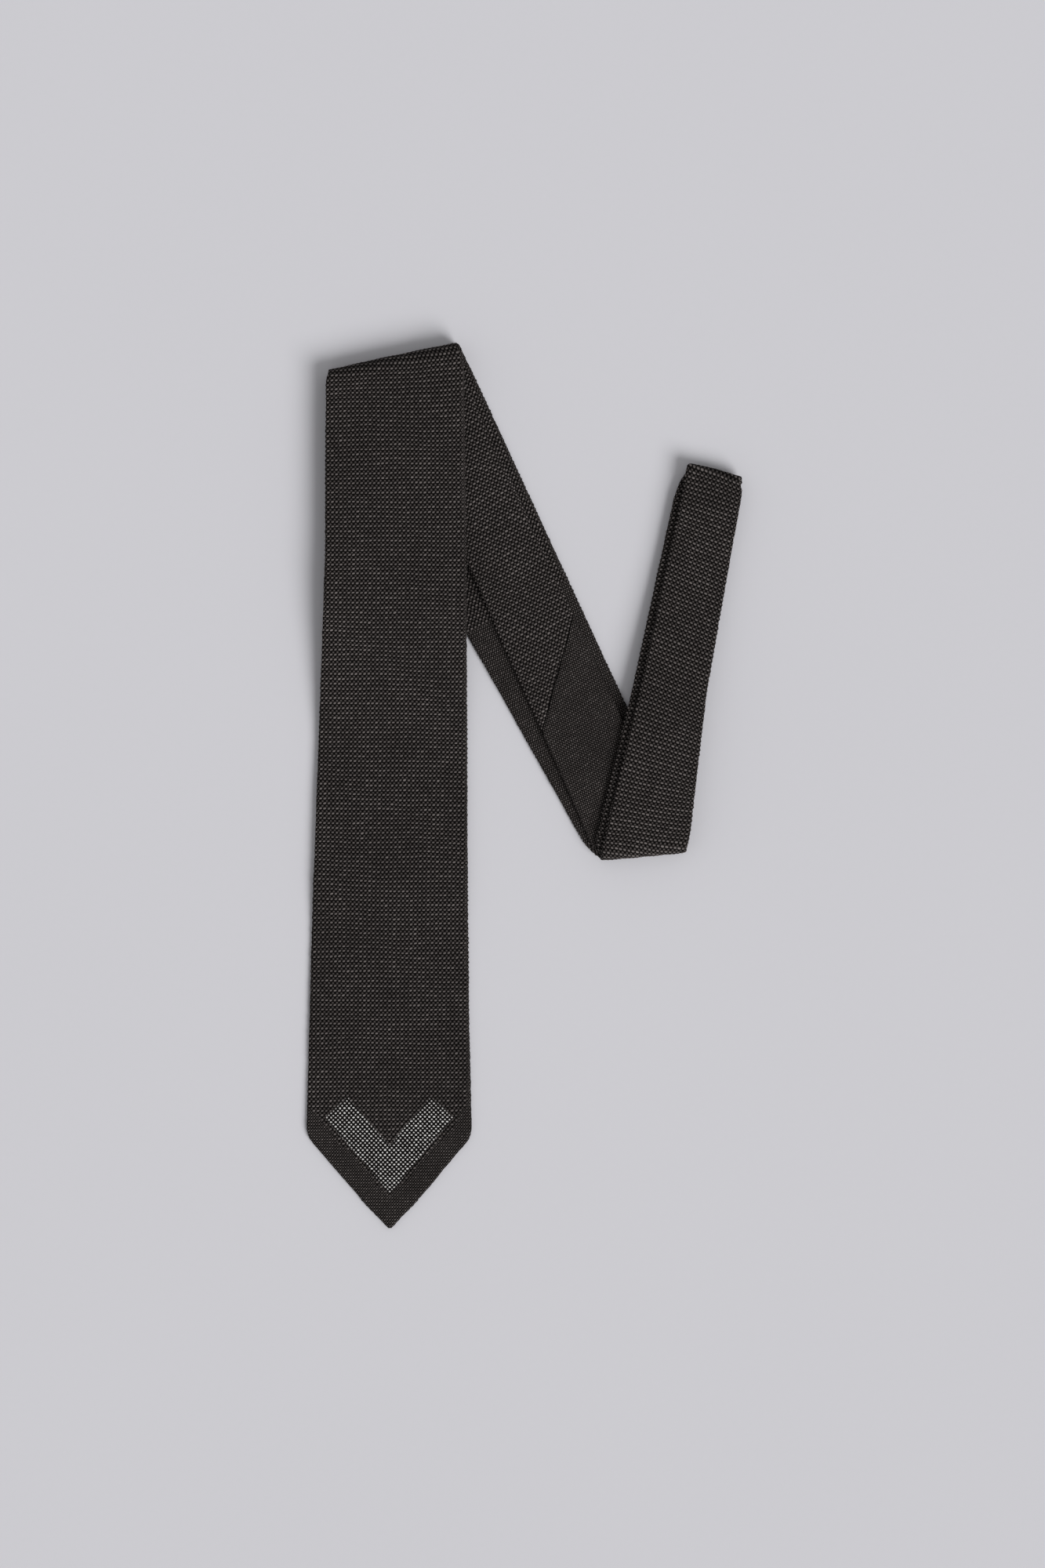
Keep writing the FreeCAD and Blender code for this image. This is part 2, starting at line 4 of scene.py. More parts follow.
import bmesh
import bpy
import numpy as np
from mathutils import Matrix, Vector


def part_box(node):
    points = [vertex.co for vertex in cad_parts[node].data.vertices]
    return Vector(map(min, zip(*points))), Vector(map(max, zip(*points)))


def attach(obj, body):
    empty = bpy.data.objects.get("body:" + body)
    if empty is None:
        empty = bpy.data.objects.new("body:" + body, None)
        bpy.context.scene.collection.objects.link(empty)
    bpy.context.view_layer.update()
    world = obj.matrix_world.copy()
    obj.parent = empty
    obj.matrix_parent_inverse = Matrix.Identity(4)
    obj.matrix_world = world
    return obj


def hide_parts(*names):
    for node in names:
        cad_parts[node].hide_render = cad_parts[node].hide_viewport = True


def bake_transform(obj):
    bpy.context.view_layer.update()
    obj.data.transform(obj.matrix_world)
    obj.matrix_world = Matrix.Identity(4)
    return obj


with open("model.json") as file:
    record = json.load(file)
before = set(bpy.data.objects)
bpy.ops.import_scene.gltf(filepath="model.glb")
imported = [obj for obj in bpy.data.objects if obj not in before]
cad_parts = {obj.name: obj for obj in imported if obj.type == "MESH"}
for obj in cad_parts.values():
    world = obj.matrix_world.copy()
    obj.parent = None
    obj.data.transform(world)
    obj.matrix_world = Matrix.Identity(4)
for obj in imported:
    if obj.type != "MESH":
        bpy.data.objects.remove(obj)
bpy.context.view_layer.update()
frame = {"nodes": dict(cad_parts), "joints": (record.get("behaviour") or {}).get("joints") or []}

MM = 0.001
NODES = frame["nodes"]
PI = math.pi

# -------------------- cloth sizes, in mm
HALF_THICK = 1.12  # half the folded strap's thickness
CROWN = 0.22  # how much higher the front's middle is than its edges
CELL_WIDE = 2.07  # the weave's repeat across the front cloth
CELL_LONG = 2.36  # its repeat along the strap
FINE = CELL_WIDE / 3  # mesh step across the front
FINE_PAST = 0.7  # the fine steps go on this far past the edge
COARSE = CELL_WIDE  # mesh step across the back flaps
ROW = CELL_LONG / 3  # mesh step along the strap
FLAP_OVERLAP = 3.0  # how far each back flap passes the middle
POINT_LAP = 0.4  # how far the hems may pass it at the points
TURN_IN = 2.4  # raw edge turned under at each flap
TURN_IN_GAP = 0.28  # and how far inside the flap it lies
UNDER_FLAP = 0.4  # the right flap lies this much further inside
FADE = 10.0  # length of the cloth that gives beside each crease
GIVE = 0.1  # and its share of the crease's turn, on each side
POINT_ROUND = 2.4  # rounds the tips of the two points
ROUND_FADE = 6.0  # where the strap's half width is about this or less
SHOULDER_BLUR = np.linspace(-4.5, 4.5, 9)  # rounds the points' shoulders
SHOULDER_CLEAR = 18.0  # less of it nearer to a tip than this
POINT_SWELL = 1.5  # fills out the points' slanted sides
SWELL_ENDS = (52.0, 25.0)  # up to here from the blade's tip and the tail's
SWELL_FADE = 12.0  # length over which it comes and goes
CORNER = 2.4  # draws in the strap's corners at each crease
CORNER_REACH = 1.9  # over this length of the strap
CORNER_SLANT = 0.22  # and this share of the gap between the stretches
EDGE_PROUD = 0.3  # the cloth stands this far outside its CAD edge
POINT_SPREAD = 0.855  # half the blade point's width over its height
CHEVRON = (17.5, 40.5)  # the woven band's distance up from the tip
CHEVRON_ARM = 82.0  # and where its arms end
TABLE_GAP = 0.02  # the cloth stays this far above the table
PRESS = 0.05  # softness of its contact there

# Unevenness, as ripples of a size, a seed and a wavelength.
EDGE_WAVES = ((0.17, 31, 5.2), (0.14, 33, 2.4))
WEFT_WAVES = ((0.75, 11, 38), (0.3, 12, 14))
FRONT_WAVES = ((0.1, 5, 30),)
SWAY_WAVES = ((0.07, 13, 60),)


# -------------------- smooth noise
def ripple(a, b, seed, wave):
    """Smooth noise from -1 to 1 over two coordinates, with features of about one wave."""
    rng = np.random.default_rng(seed)
    total = np.zeros(np.broadcast(a, b).shape)
    for _ in range(6):
        angle, phase = rng.uniform(0, 2 * PI, 2)
        length = wave * rng.uniform(0.7, 1.6)
        total += np.sin(2 * PI * (a * math.cos(angle) + b * math.sin(angle)) / length + phase)
    return total / 6


def waves(a, b, each, shift=0):
    """Sum of several ripples, with shift added to their seeds."""
    return sum(size * ripple(a, b, seed + shift, wave) for size, seed, wave in each)


def smooth(x):
    """From 0 to 1 as x does, with level ends."""
    x = np.clip(x, 0, 1)
    return x * x * (3 - 2 * x)


DRAPE_BLUR, DRAPE_STEPS = 9.0, 9


def lie(stretch, y, blur=DRAPE_BLUR):
    """Height of a stretch's middle layer at y, with the corners of its drape rounded over blur."""
    ys, zs = zip(*stretch["drape"])
    total = 0
    for shift in np.linspace(-blur, blur, DRAPE_STEPS):
        total = total + np.interp(y + shift, ys, zs)
    return total / DRAPE_STEPS


# -------------------- the CAD frame's outlines
def points_of(name):
    """A CAD node's vertices, in mm."""
    return np.array([v.co for v in NODES[name].data.vertices]) / MM


def cut_node(names, y):
    """Points where the edges of CAD nodes cross one y, as (x, z) rows in mm."""
    found = []
    for name in names:
        co = points_of(name)
        ends = np.array([e.vertices for e in NODES[name].data.edges])
        a, b = co[ends[:, 0]], co[ends[:, 1]]
        over = (a[:, 1] - y) * (b[:, 1] - y) < 0
        a, b = a[over], b[over]
        t = ((y - a[:, 1]) / (b[:, 1] - a[:, 1]))[:, None]
        found.append((a + t * (b - a))[:, [0, 2]])
    return np.concatenate(found)


class Crease:
    """A fold: a point on its line, its outward direction, its height and its mean radius."""

    def __init__(self, point, outward, height, radius):
        self.point = np.array(point, float)
        self.outward = np.array(outward, float) / np.linalg.norm(outward)
        self.height = height
        self.radius = radius
        self.arc = PI * radius

    def depth(self, xy):
        """How far out past the fold line points lie."""
        return (xy - self.point) @ self.outward

    def unfold(self):
        """Matrix and shift that lay the far stretch out flat beyond the crease."""
        n = self.outward
        return np.eye(2) - 2 * np.outer(n, n), (2 * self.point @ n + self.arc) * n


HINGE_OUT = 0.4  # each hinge lies this far outside the middle of its bends


def joint_line(name):
    """A point on a crease's line, its outward direction and its height, from its hinge."""
    joint = next(j for j in frame["joints"] if j["name"] == name)
    point = np.array(joint["pos_m"]) / MM
    ax, ay, _ = joint["axis"]
    outward = np.array([ay, -ax])
    return point[:2] - HINGE_OUT * outward, outward, point[2]


TOP = joint_line("front_blade_fold")
BOTTOM = joint_line("neck_loop_fold")
NECK = ((79.5, 156.5), (0.2555, 0.9668), 5.85)
WIDE_BEND, TIGHT_BEND = 4.65, 1.55  # mean radii

# The strap in order from the blade's tip to the tail's tip. Each stretch has its CAD nodes, 1 where its
# front cloth faces up and -1 where it faces down, and the height of its middle layer at points along y.
STRETCHES = [
    dict(nodes=["front_cloth_blade"], up=1, drape=[(-76, 1.3), (-46, 2.8), (24, 2.8), (92, 10.6)]),
    dict(nodes=["front_cloth_lower_run", "neck_cloth_lower_run"], up=-1, drape=[(0, 1.3)]),
    dict(nodes=["neck_cloth_loop"], up=1, drape=[(38, 10.6), (105, 7.4)]),
    dict(nodes=["neck_cloth_loop"], up=-1, drape=[(38, 7.5), (105, 4.3)]),
    dict(nodes=["tail_cloth_upper_run", "neck_cloth_upper_run"], up=1, drape=[(0, 4.4)]),
    dict(nodes=["tail_cloth_end"], up=-1, drape=[(0, 7.5)]),
]
CREASES = [
    Crease(*TOP, WIDE_BEND),
    Crease(*BOTTOM, WIDE_BEND),
    Crease(*NECK, TIGHT_BEND),
    Crease(*BOTTOM, TIGHT_BEND),
    Crease(*TOP, TIGHT_BEND),
]

# How the CAD outlines are read
SAMPLE_STEP = 1.5  # between the cuts across a stretch
SAMPLE_CLEAR = 0.2  # from its ends
SLAB_REACH = 1.5  # its solid stays within this of its middle layer
CREASE_CLEAR = 0.4  # a point nearer than this to a crease isn't used
LINE_STEP = 2.0  # between points of the strap's middle line
RUN_OUT = 30  # points that carry the line on past each end
LOOK_BACK = 12  # points over which its direction there is taken
LINE_BLUR = 9.0  # smoothing of the line, in points
LINE_KERNEL = 24  # and how many points each side it takes in


class Strap:
    """The lined strap: from flat coordinates (v across, s along, h to the front) to the folded tie."""

    def __init__(self):
        self.flat = [(np.eye(2), np.zeros(2))]
        for crease in CREASES:
            m, t = self.flat[-1]
            dm, dt = crease.unfold()
            self.flat.append((m @ dm, m @ dt + t))
        sides = ([], [])
        self.ends = []
        middles = []
        for k, stretch in enumerate(STRETCHES):
            left, right, middle = self.sample(k, stretch)
            if k % 2:
                left, right, middle = left[::-1], right[::-1], middle[::-1]
            self.ends.append([(side[0], side[-1]) for side in (left, right)])
            sides[0].append(left)
            sides[1].append(right)
            middles.append(middle)
        self.make_line(np.concatenate(middles))
        self.read_sides([np.concatenate(side) for side in sides])

    def sample(self, k, stretch):
        """Left and right edges and the middle of one stretch, laid out flat."""
        low = min(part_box(n)[0].y for n in stretch["nodes"]) / MM
        high = max(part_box(n)[1].y for n in stretch["nodes"]) / MM
        near = [CREASES[i] for i in (k - 1, k) if 0 <= i < len(CREASES)]
        left, right, middle = [], [], []
        for y in np.arange(low + SAMPLE_CLEAR, high - SAMPLE_CLEAR, SAMPLE_STEP):
            cut = cut_node(stretch["nodes"], y)
            cut = cut[abs(cut[:, 1] - lie(stretch, y, 0)) < SLAB_REACH]
            if len(cut) < 2:
                continue
            pair = [np.array([cut[:, 0].min(), y]), np.array([cut[:, 0].max(), y])]
            clear = [all(c.depth(p) < -CREASE_CLEAR for c in near) for p in pair]
            if clear[0]:
                left.append(pair[0])
            if clear[1]:
                right.append(pair[1])
            if all(clear):
                middle.append((pair[0] + pair[1]) / 2)
        m, t = self.flat[k]
        return [np.array(points) @ m.T + t for points in (left, right, middle)]

    def make_line(self, middle):
        """A smooth centreline through the middle points, with its ends carried straight on."""
        walk = np.concatenate([[0], np.cumsum(np.linalg.norm(np.diff(middle, axis=0), axis=1))])
        s = np.arange(0, walk[-1], LINE_STEP)
        line = np.stack([np.interp(s, walk, middle[:, i]) for i in (0, 1)], axis=1)
        for _ in range(2):
            line = line[::-1]
            away = line[0] - line[LOOK_BACK]
            away = away / np.linalg.norm(away)
            extra = line[0] + away * np.arange(RUN_OUT, 0, -1)[:, None] * LINE_STEP
            line = np.concatenate([extra, line])
        kernel = np.exp(-(np.arange(-LINE_KERNEL, LINE_KERNEL + 1) / LINE_BLUR) ** 2)
        kernel = kernel / kernel.sum()
        padded = np.pad(line, ((LINE_KERNEL, LINE_KERNEL), (0, 0)), mode="reflect", reflect_type="odd")
        line = np.stack([np.convolve(padded[:, i], kernel, "valid") for i in (0, 1)], axis=1)
        self.line = line
        self.along = np.concatenate([[0], np.cumsum(np.linalg.norm(np.diff(line, axis=0), axis=1))])
        tangent = np.gradient(line, self.along, axis=0)
        self.tangent = tangent / np.linalg.norm(tangent, axis=1)[:, None]

    def locate_flat(self, points):
        """(v, s) of points in the flat layout."""
        gap = points[:, None, :] - self.line[None, :, :]
        near = np.argmin((gap ** 2).sum(-1), axis=1)
        d = points - self.line[near]
        t = self.tangent[near]
        s = self.along[near] + (d * t).sum(1)
        v = d[:, 0] * t[:, 1] - d[:, 1] * t[:, 0]
        return v, s

    def locate(self, k, points):
        """(v, s) of points in stretch k's own plane."""
        m, t = self.flat[k]
        return self.locate_flat(np.atleast_2d(points) @ m.T + t)

    def read_sides(self, sides):
        """The strap's edges as v over s, its ends, and where each crease begins and ends on each edge."""
        self.sides = []
        for points in sides:
            v, s = self.locate_flat(points)
            order = np.argsort(s)
            self.sides.append((s[order], v[order]))
        self.start = min(s[0] for s, _ in self.sides) - SAMPLE_CLEAR
        self.stop = max(s[-1] for s, _ in self.sides) + SAMPLE_CLEAR
        self.spans = []
        for k in range(len(CREASES)):
            before = [self.locate_flat(self.ends[k][i][1][None])[1][0] for i in (0, 1)]
            after = [self.locate_flat(self.ends[k + 1][i][0][None])[1][0] for i in (0, 1)]
            self.spans.append((before, after))
        middle = [np.mean(b + a) for b, a in self.spans]
        between = [(a + b) / 2 for a, b in zip(middle, middle[1:])]
        self.halfway = [-math.inf] + between + [math.inf]

    def edges(self, s):
        """Left and right v of the strap at s, drawn in a little at each crease."""
        found = []
        clear = smooth(np.minimum(s - self.start, self.stop - s) / SHOULDER_CLEAR)
        for i, (at, v) in enumerate(self.sides):
            edge = sum(np.interp(s + k * clear, at, v) for k in SHOULDER_BLUR) / len(SHOULDER_BLUR)
            inward = 1 if i == 0 else -1
            for before, after in self.spans:
                mid = (before[i] + after[i]) / 2
                reach = CORNER_REACH + CORNER_SLANT * (after[i] - before[i])
                edge = edge + inward * CORNER * np.exp(-((s - mid) / reach) ** 2)
            edge = edge + inward * (waves(s, 0, EDGE_WAVES, shift=i) - EDGE_PROUD)
            found.append(edge - inward * self.swell(s))
        return self.round_points(*found)

    def swell(self, s):
        """Fills out the slanted sides of the two points."""
        total = 0
        for tip, end in zip((s - self.start, self.stop - s), SWELL_ENDS):
            total = total + POINT_SWELL * smooth(tip / SWELL_FADE) * smooth((end - tip) / SWELL_FADE)
        return total

    def round_points(self, left, right):
        """Rounds the tips of the two points."""
        centre = (right + left) / 2
        half = np.maximum((right - left) / 2, 0)
        half = np.sqrt(half * (half + POINT_ROUND * np.exp(-half / ROUND_FADE)))
        return centre - half, centre + half

    def flat_point(self, v, s):
        """Points of the strap in the flat layout."""
        base = [np.interp(s, self.along, self.line[:, i]) for i in (0, 1)]
        t = [np.interp(s, self.along, self.tangent[:, i]) for i in (0, 1)]
        return np.stack([base[0] + v * t[1], base[1] - v * t[0]], axis=-1)

    def place(self, v, s, h):
        """Folded position of strap points, in mm."""
        flat = self.flat_point(v, s)
        out = np.zeros(flat.shape[:-1] + (3,))
        for k, crease in enumerate(CREASES):
            take = (s >= self.halfway[k]) & (s < self.halfway[k + 1])
            m, t = self.flat[k]
            q = (flat[take] - t) @ m
            out[take] = self.bend(k, crease, q, h[take])
        return out

    def bend(self, k, crease, q, h):
        """Folds points q of stretch k's plane, h over the middle layer, round crease k."""
        before, after = STRETCHES[k], STRETCHES[k + 1]
        depth = crease.depth(q)
        n = crease.outward
        foot = q - depth[:, None] * n
        rises = 1 if lie(after, 0) > lie(before, 0) else -1
        turn = np.clip(depth / crease.radius, 0, PI)
        radius = crease.radius - h * before["up"] * rises
        past = np.maximum(depth - crease.arc, 0)
        short = np.minimum(depth, 0)
        xy = foot + n * (short + radius * np.sin(turn) - past)[:, None]
        z = crease.height - rises * radius * np.cos(turn)
        flat_a, flat_b = depth <= 0, depth >= crease.arc
        z = np.where(flat_a, lie(before, xy[:, 1]) + before["up"] * h, z)
        z = np.where(flat_b, lie(after, xy[:, 1]) + after["up"] * h, z)
        return np.column_stack([xy, z])

    def share(self, k, v, s):
        """How far along crease k each point turns, from 0 before it to 1 after it."""
        crease = CREASES[k]
        m, t = self.flat[k]
        depth = crease.depth((self.flat_point(v, s) - t) @ m)
        before = GIVE * np.clip(1 + depth / FADE, 0, 1) ** 2
        after = GIVE * np.clip(1 - (depth - crease.arc) / FADE, 0, 1) ** 2
        within = GIVE + (1 - 2 * GIVE) * depth / crease.arc
        return np.where(depth < 0, before, np.where(depth > crease.arc, 1 - after, within))


strap = Strap()


def along(k, x, y):
    """How far along the strap a point of stretch k lies."""
    return strap.locate(k, (x, y))[1][0]


BLADE_X, TAIL_X = -67.1, -57.5  # the middles of the two points
TIP_OPEN, TAIL_OPEN = -118.0, 150.0  # y where the back flaps start to part
SHOULDER, TAIL_SHOULDER = -172.0, 116.0  # y where the points begin
S_OPEN = along(0, BLADE_X, TIP_OPEN)
S_SHOULDER = along(0, BLADE_X, SHOULDER)
S_TAIL_OPEN = along(5, TAIL_X, TAIL_OPEN)
S_TAIL_SHOULDER = along(5, TAIL_X, TAIL_SHOULDER)
HEM, TAIL_HEM = 10.0, 6.0
SLANT = 1.31  # a hem's width along a row, over its width square to the point's edge
NARROWEST = 0.05  # the strap's least half width
LAP_RISE = 12.0  # length over which the right flap goes under the left


def flap_reach(s, half):
    """How far each back flap reaches in from the edge."""
    closed = half + FLAP_OVERLAP
    open_front = (S_OPEN - s) / (S_OPEN - S_SHOULDER)
    open_tail = (s - S_TAIL_OPEN) / (S_TAIL_SHOULDER - S_TAIL_OPEN)
    for share, hem in ((open_front, HEM * SLANT), (open_tail, TAIL_HEM * SLANT)):
        share = np.clip(share, 0, 1)
        closed = closed + share * (np.minimum(hem, half + POINT_LAP) - closed)
    return closed


def envelope(u, s, lift):
    """From u, measured round the folded strap, to (v, h) and the u of the flap's edge.

    lift raises the surface along its normal.
    """
    left, right = strap.edges(s)
    half = np.maximum((right - left) / 2, NARROWEST)
    centre = (right + left) / 2
    roll = np.minimum(HALF_THICK, half)
    straight = half - roll
    reach = flap_reach(s, half)
    a = np.abs(u)
    side = np.where(u < 0, -1, 1)
    limit = straight + PI * roll + np.maximum(reach - roll, 0)
    turn_in = np.minimum(TURN_IN, reach * 0.3)
    a = np.minimum(a, limit + turn_in)
    crown = CROWN * (1 - (np.minimum(a, straight) / np.maximum(straight, 1)) ** 2)
    angle = np.clip((a - straight) / roll, 0, PI)
    v = np.minimum(a, straight) + (roll + lift) * np.sin(angle)
    h = (roll + lift + crown * (angle <= 0)) * np.cos(angle)
    inward = np.clip(a - straight - PI * roll, 0, None)
    turned = np.clip(a - limit, 0, turn_in)
    back = angle >= PI
    v = np.where(back, straight - inward + 2 * turned, v)
    under = UNDER_FLAP * (side > 0) * smooth(inward / LAP_RISE) * (S_OPEN < s) * (s < S_TAIL_OPEN)
    h = np.where(back, -roll - lift * (turned <= 0) + under + TURN_IN_GAP * (turned > 0), h)
    return centre + side * v, h, limit


def press(z):
    """Flattens what would sink below the table the tie lies on."""
    return TABLE_GAP + PRESS * np.logaddexp(0, (z - TABLE_GAP) / PRESS)


RELIEF_SEED, RELIEF_TABLE = 7, (257, 1031)  # each cell's chance comes from this table
RELIEF_WIDE, RELIEF_LONG = 0.26, 0.22  # a raised bead's reach, as a share of its cell
RELIEF_TALL, RELIEF_RANGE = 0.16, 0.2  # its least height, and what chance adds to it
GAP_DEEP = 0.13  # the gaps between the rows
GAP_FROM, GAP_SLOPE = 0.15, 0.18  # where they begin, and over what they sink
BACK_RELIEF = 0.06


def weave_lift(u, s, on_front):
    """Height of the weave over the cloth: a raised bead in each cell, sunk gaps between the rows."""
    table = np.random.default_rng(RELIEF_SEED).uniform(0, 1, RELIEF_TABLE)
    column, row = np.rint(u / CELL_WIDE).astype(int), np.rint(s / CELL_LONG).astype(int)
    in_u, in_s = u / CELL_WIDE - column, s / CELL_LONG - row
    chance = table[column % RELIEF_TABLE[0], row % RELIEF_TABLE[1]]
    bead = np.exp(-((in_u / RELIEF_WIDE) ** 2) - (in_s / RELIEF_LONG) ** 2)
    bead = bead * (RELIEF_TALL + RELIEF_RANGE * chance)
    gap = GAP_DEEP * smooth((np.abs(in_s) - GAP_FROM) / GAP_SLOPE)
    return np.where(on_front, bead - gap, BACK_RELIEF * np.cos(2 * PI * in_s))


def join_line(k, a, b):
    """A bias join through two points of stretch k: its s in the middle, and its change per mm of u."""
    v, s = strap.locate(k, np.array([a, b]))
    slope = (s[1] - s[0]) / (v[1] - v[0])
    return s[0] - slope * v[0], slope


LOWER_JOIN = join_line(1, (-28.9, 209.2), (-70.9, 150.0))
UPPER_JOIN = join_line(4, (24.8, 80.0), (6.6, 27.8))
FRONT_TO_NECK = strap.halfway[1]

# How much the weft leans along the strap, per mm across it, from place to place along it
NEAR_FOOT, FAR_FOOT = max(strap.spans[1][1]), min(strap.spans[3][0])
LEAN = [
    (FRONT_TO_NECK - 60, 0.0),
    (FRONT_TO_NECK + 60, -0.04),
    (NEAR_FOOT - 4, 0.08),
    (NEAR_FOOT + 30, -0.1),
    (NEAR_FOOT + 75, -0.2),
    (strap.halfway[3] - 15, -0.15),
    (FAR_FOOT, 0.0),
    (FAR_FOOT + 30, 0.15),
]
FRONT_SHARE = 0.55  # share of the way to the flap's edge with the raised weave
GROOVE_WIDE, GROOVE_DEEP = 0.8, 0.45  # the bias joins' grooves
CLOSE_WEAVE = 0.8  # share of the relief that the chevron's close weave takes away
END_STILL = 25.0  # the weft runs straight nearer to the strap's ends than this


def in_chevron(u, s):
    up = s - strap.start
    level = up - np.abs(u) / POINT_SPREAD
    inside = (level > CHEVRON[0]) & (level < CHEVRON[1])
    return inside & (up + np.abs(u) * POINT_SPREAD < CHEVRON_ARM)


def grid(rows, u):
    """Cloth vertices for rows and columns: position, cloth coordinates and fold coordinates."""
    s, u = np.meshgrid(rows, u, indexing="ij")
    limit = envelope(u, s, 0)[2]
    on_front = np.abs(u) < limit * FRONT_SHARE
    lift = weave_lift(u, s, on_front)
    for at, slope in (LOWER_JOIN, UPPER_JOIN):
        away = (s - at - slope * u) / math.hypot(1, slope)
        near = np.exp(-((away / GROOVE_WIDE) ** 2))
        lift = lift * (1 - near) - GROOVE_DEEP * near
    lift = lift * (1 - CLOSE_WEAVE * in_chevron(u, s)) + waves(u, s, FRONT_WAVES) * on_front
    v, h, limit = envelope(u, s, lift)
    lean = np.interp(s, *zip(*LEAN)) * v
    still = smooth((s - strap.start) / END_STILL) * smooth((strap.stop - s) / END_STILL)
    moved = s + (lean + waves(u, s, WEFT_WAVES)) * still
    co = strap.place(v, moved, h + waves(s, 0, SWAY_WAVES))
    co[..., 2] = press(co[..., 2])
    return co, u, s, v, moved, limit


# -------------------- meshes
def new_mesh(name, co, faces, material, smooth_shade=True):
    mesh = bpy.data.meshes.new(name)
    co = np.reshape(co, (-1, 3)) * MM
    mesh.vertices.add(len(co))
    mesh.vertices.foreach_set("co", co.astype(np.float32).ravel())
    faces = np.asarray(faces, np.int32)
    sides = faces.shape[1]
    mesh.loops.add(faces.size)
    mesh.loops.foreach_set("vertex_index", faces.ravel())
    mesh.polygons.add(len(faces))
    mesh.polygons.foreach_set("loop_start", np.arange(0, faces.size, sides, dtype=np.int32))
    mesh.update(calc_edges=True)
    mesh.polygons.foreach_set("use_smooth", np.full(len(faces), smooth_shade))
    mesh.materials.append(material)
    obj = bpy.data.objects.new(name, mesh)
    bpy.context.scene.collection.objects.link(obj)
    return obj


def set_vectors(obj, name, values):
    layer = obj.data.attributes.new(name, "FLOAT_VECTOR", "POINT")
    layer.data.foreach_set("vector", np.asarray(values, np.float32).ravel())


def grid_faces(rows, columns):
    base = np.arange(rows * columns).reshape(rows, columns)
    corners = [base[:-1, :-1], base[:-1, 1:], base[1:, 1:], base[1:, :-1]]
    return np.stack(corners, axis=-1).reshape(-1, 4)


def cloth_piece(name, first, last, body=None, crease=None, keep=None):
    """One stretch of cloth from row first to row last, riding on a body, or shaped round a crease and
    left unattached.
    """
    rows = np.arange(first, last + 1) * ROW
    left, right = strap.edges(rows)
    half = (right - left) / 2
    edge = half.max() + PI * HALF_THICK
    fine_to = math.ceil((edge + FINE_PAST) / COARSE) * round(COARSE / FINE)
    far = edge + flap_reach(rows, half).max() + TURN_IN
    coarse = np.arange(fine_to * FINE + COARSE, far + COARSE, COARSE)
    fine = np.arange(-fine_to, fine_to + 1) * FINE
    u_line = np.concatenate([-coarse[::-1], fine, coarse])
    co, u, s, v, moved, limit = grid(rows, u_line)
    cut = np.clip(u, -limit - TURN_IN, limit + TURN_IN)
    flat = np.column_stack([cut.ravel(), s.ravel(), 0 * s.ravel()])
    faces = grid_faces(len(rows), len(u_line))
    faces = faces[(np.abs(u) < limit + TURN_IN).ravel()[faces].any(axis=1)]
    if keep is not None:
        faces = faces[keep(flat[faces].mean(axis=1))]
    used, packed = np.unique(faces, return_inverse=True)
    faces = packed.reshape(-1, 4)
    cloth = fine_zone(u, s) + 2 * (s > FRONT_TO_NECK)
    weave = np.stack([u / CELL_WIDE, s / CELL_LONG, cloth], axis=-1).reshape(-1, 3)
    obj = new_mesh(name + "_weave", co.reshape(-1, 3)[used], faces, MATERIALS["tie_cloth"])
    set_vectors(obj, "weave", weave[used])
    if crease is None:
        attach(obj, body)
    else:
        bend_piece(obj, crease, v.ravel()[used], moved.ravel()[used])
    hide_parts(name)


# Whether the body that swings comes first along the strap at a crease, and which it is
CREASE_BODIES = {
    0: (True, "front_blade"),
    1: (False, "neck_loop"),
    3: (True, "neck_loop"),
    4: (False, "tail_end"),
}


def bend_piece(obj, crease, v, s):
    """Works out each point's share of the crease's turn, which nothing then uses, and bakes the piece's
    transform into its mesh.
    """
    share = strap.share(crease, v, s)
    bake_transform(obj)


def fine_zone(u, s):
    """1 where the weave is finer: on parts of the blade, the lower run and the upper run."""
    left, right = strap.edges(s)
    half = (right - left) / 2
    near_right = smooth((u - half + 3.4 + waves(u, s, ((1.5, 21, 25),))) / 2.5) * (np.abs(u) < half + 3)
    level = s - strap.start - np.abs(u) / POINT_SPREAD
    near_tip = smooth((CHEVRON[0] - 1 - level + waves(u, s, ((4, 22, 18),))) / 5)
    blade = np.maximum(0.6 * near_right, near_tip)
    lower = (s > FRONT_TO_NECK - 1) & (s < strap.spans[1][0][0])
    margin = smooth((np.abs(u) - half + 9) / 2) * lower
    at, slope = UPPER_JOIN
    upper = (s > strap.spans[3][1][0]) & (s < at + slope * u)
    return np.where(s < FRONT_TO_NECK, blade, np.where(upper, 1.0, margin))


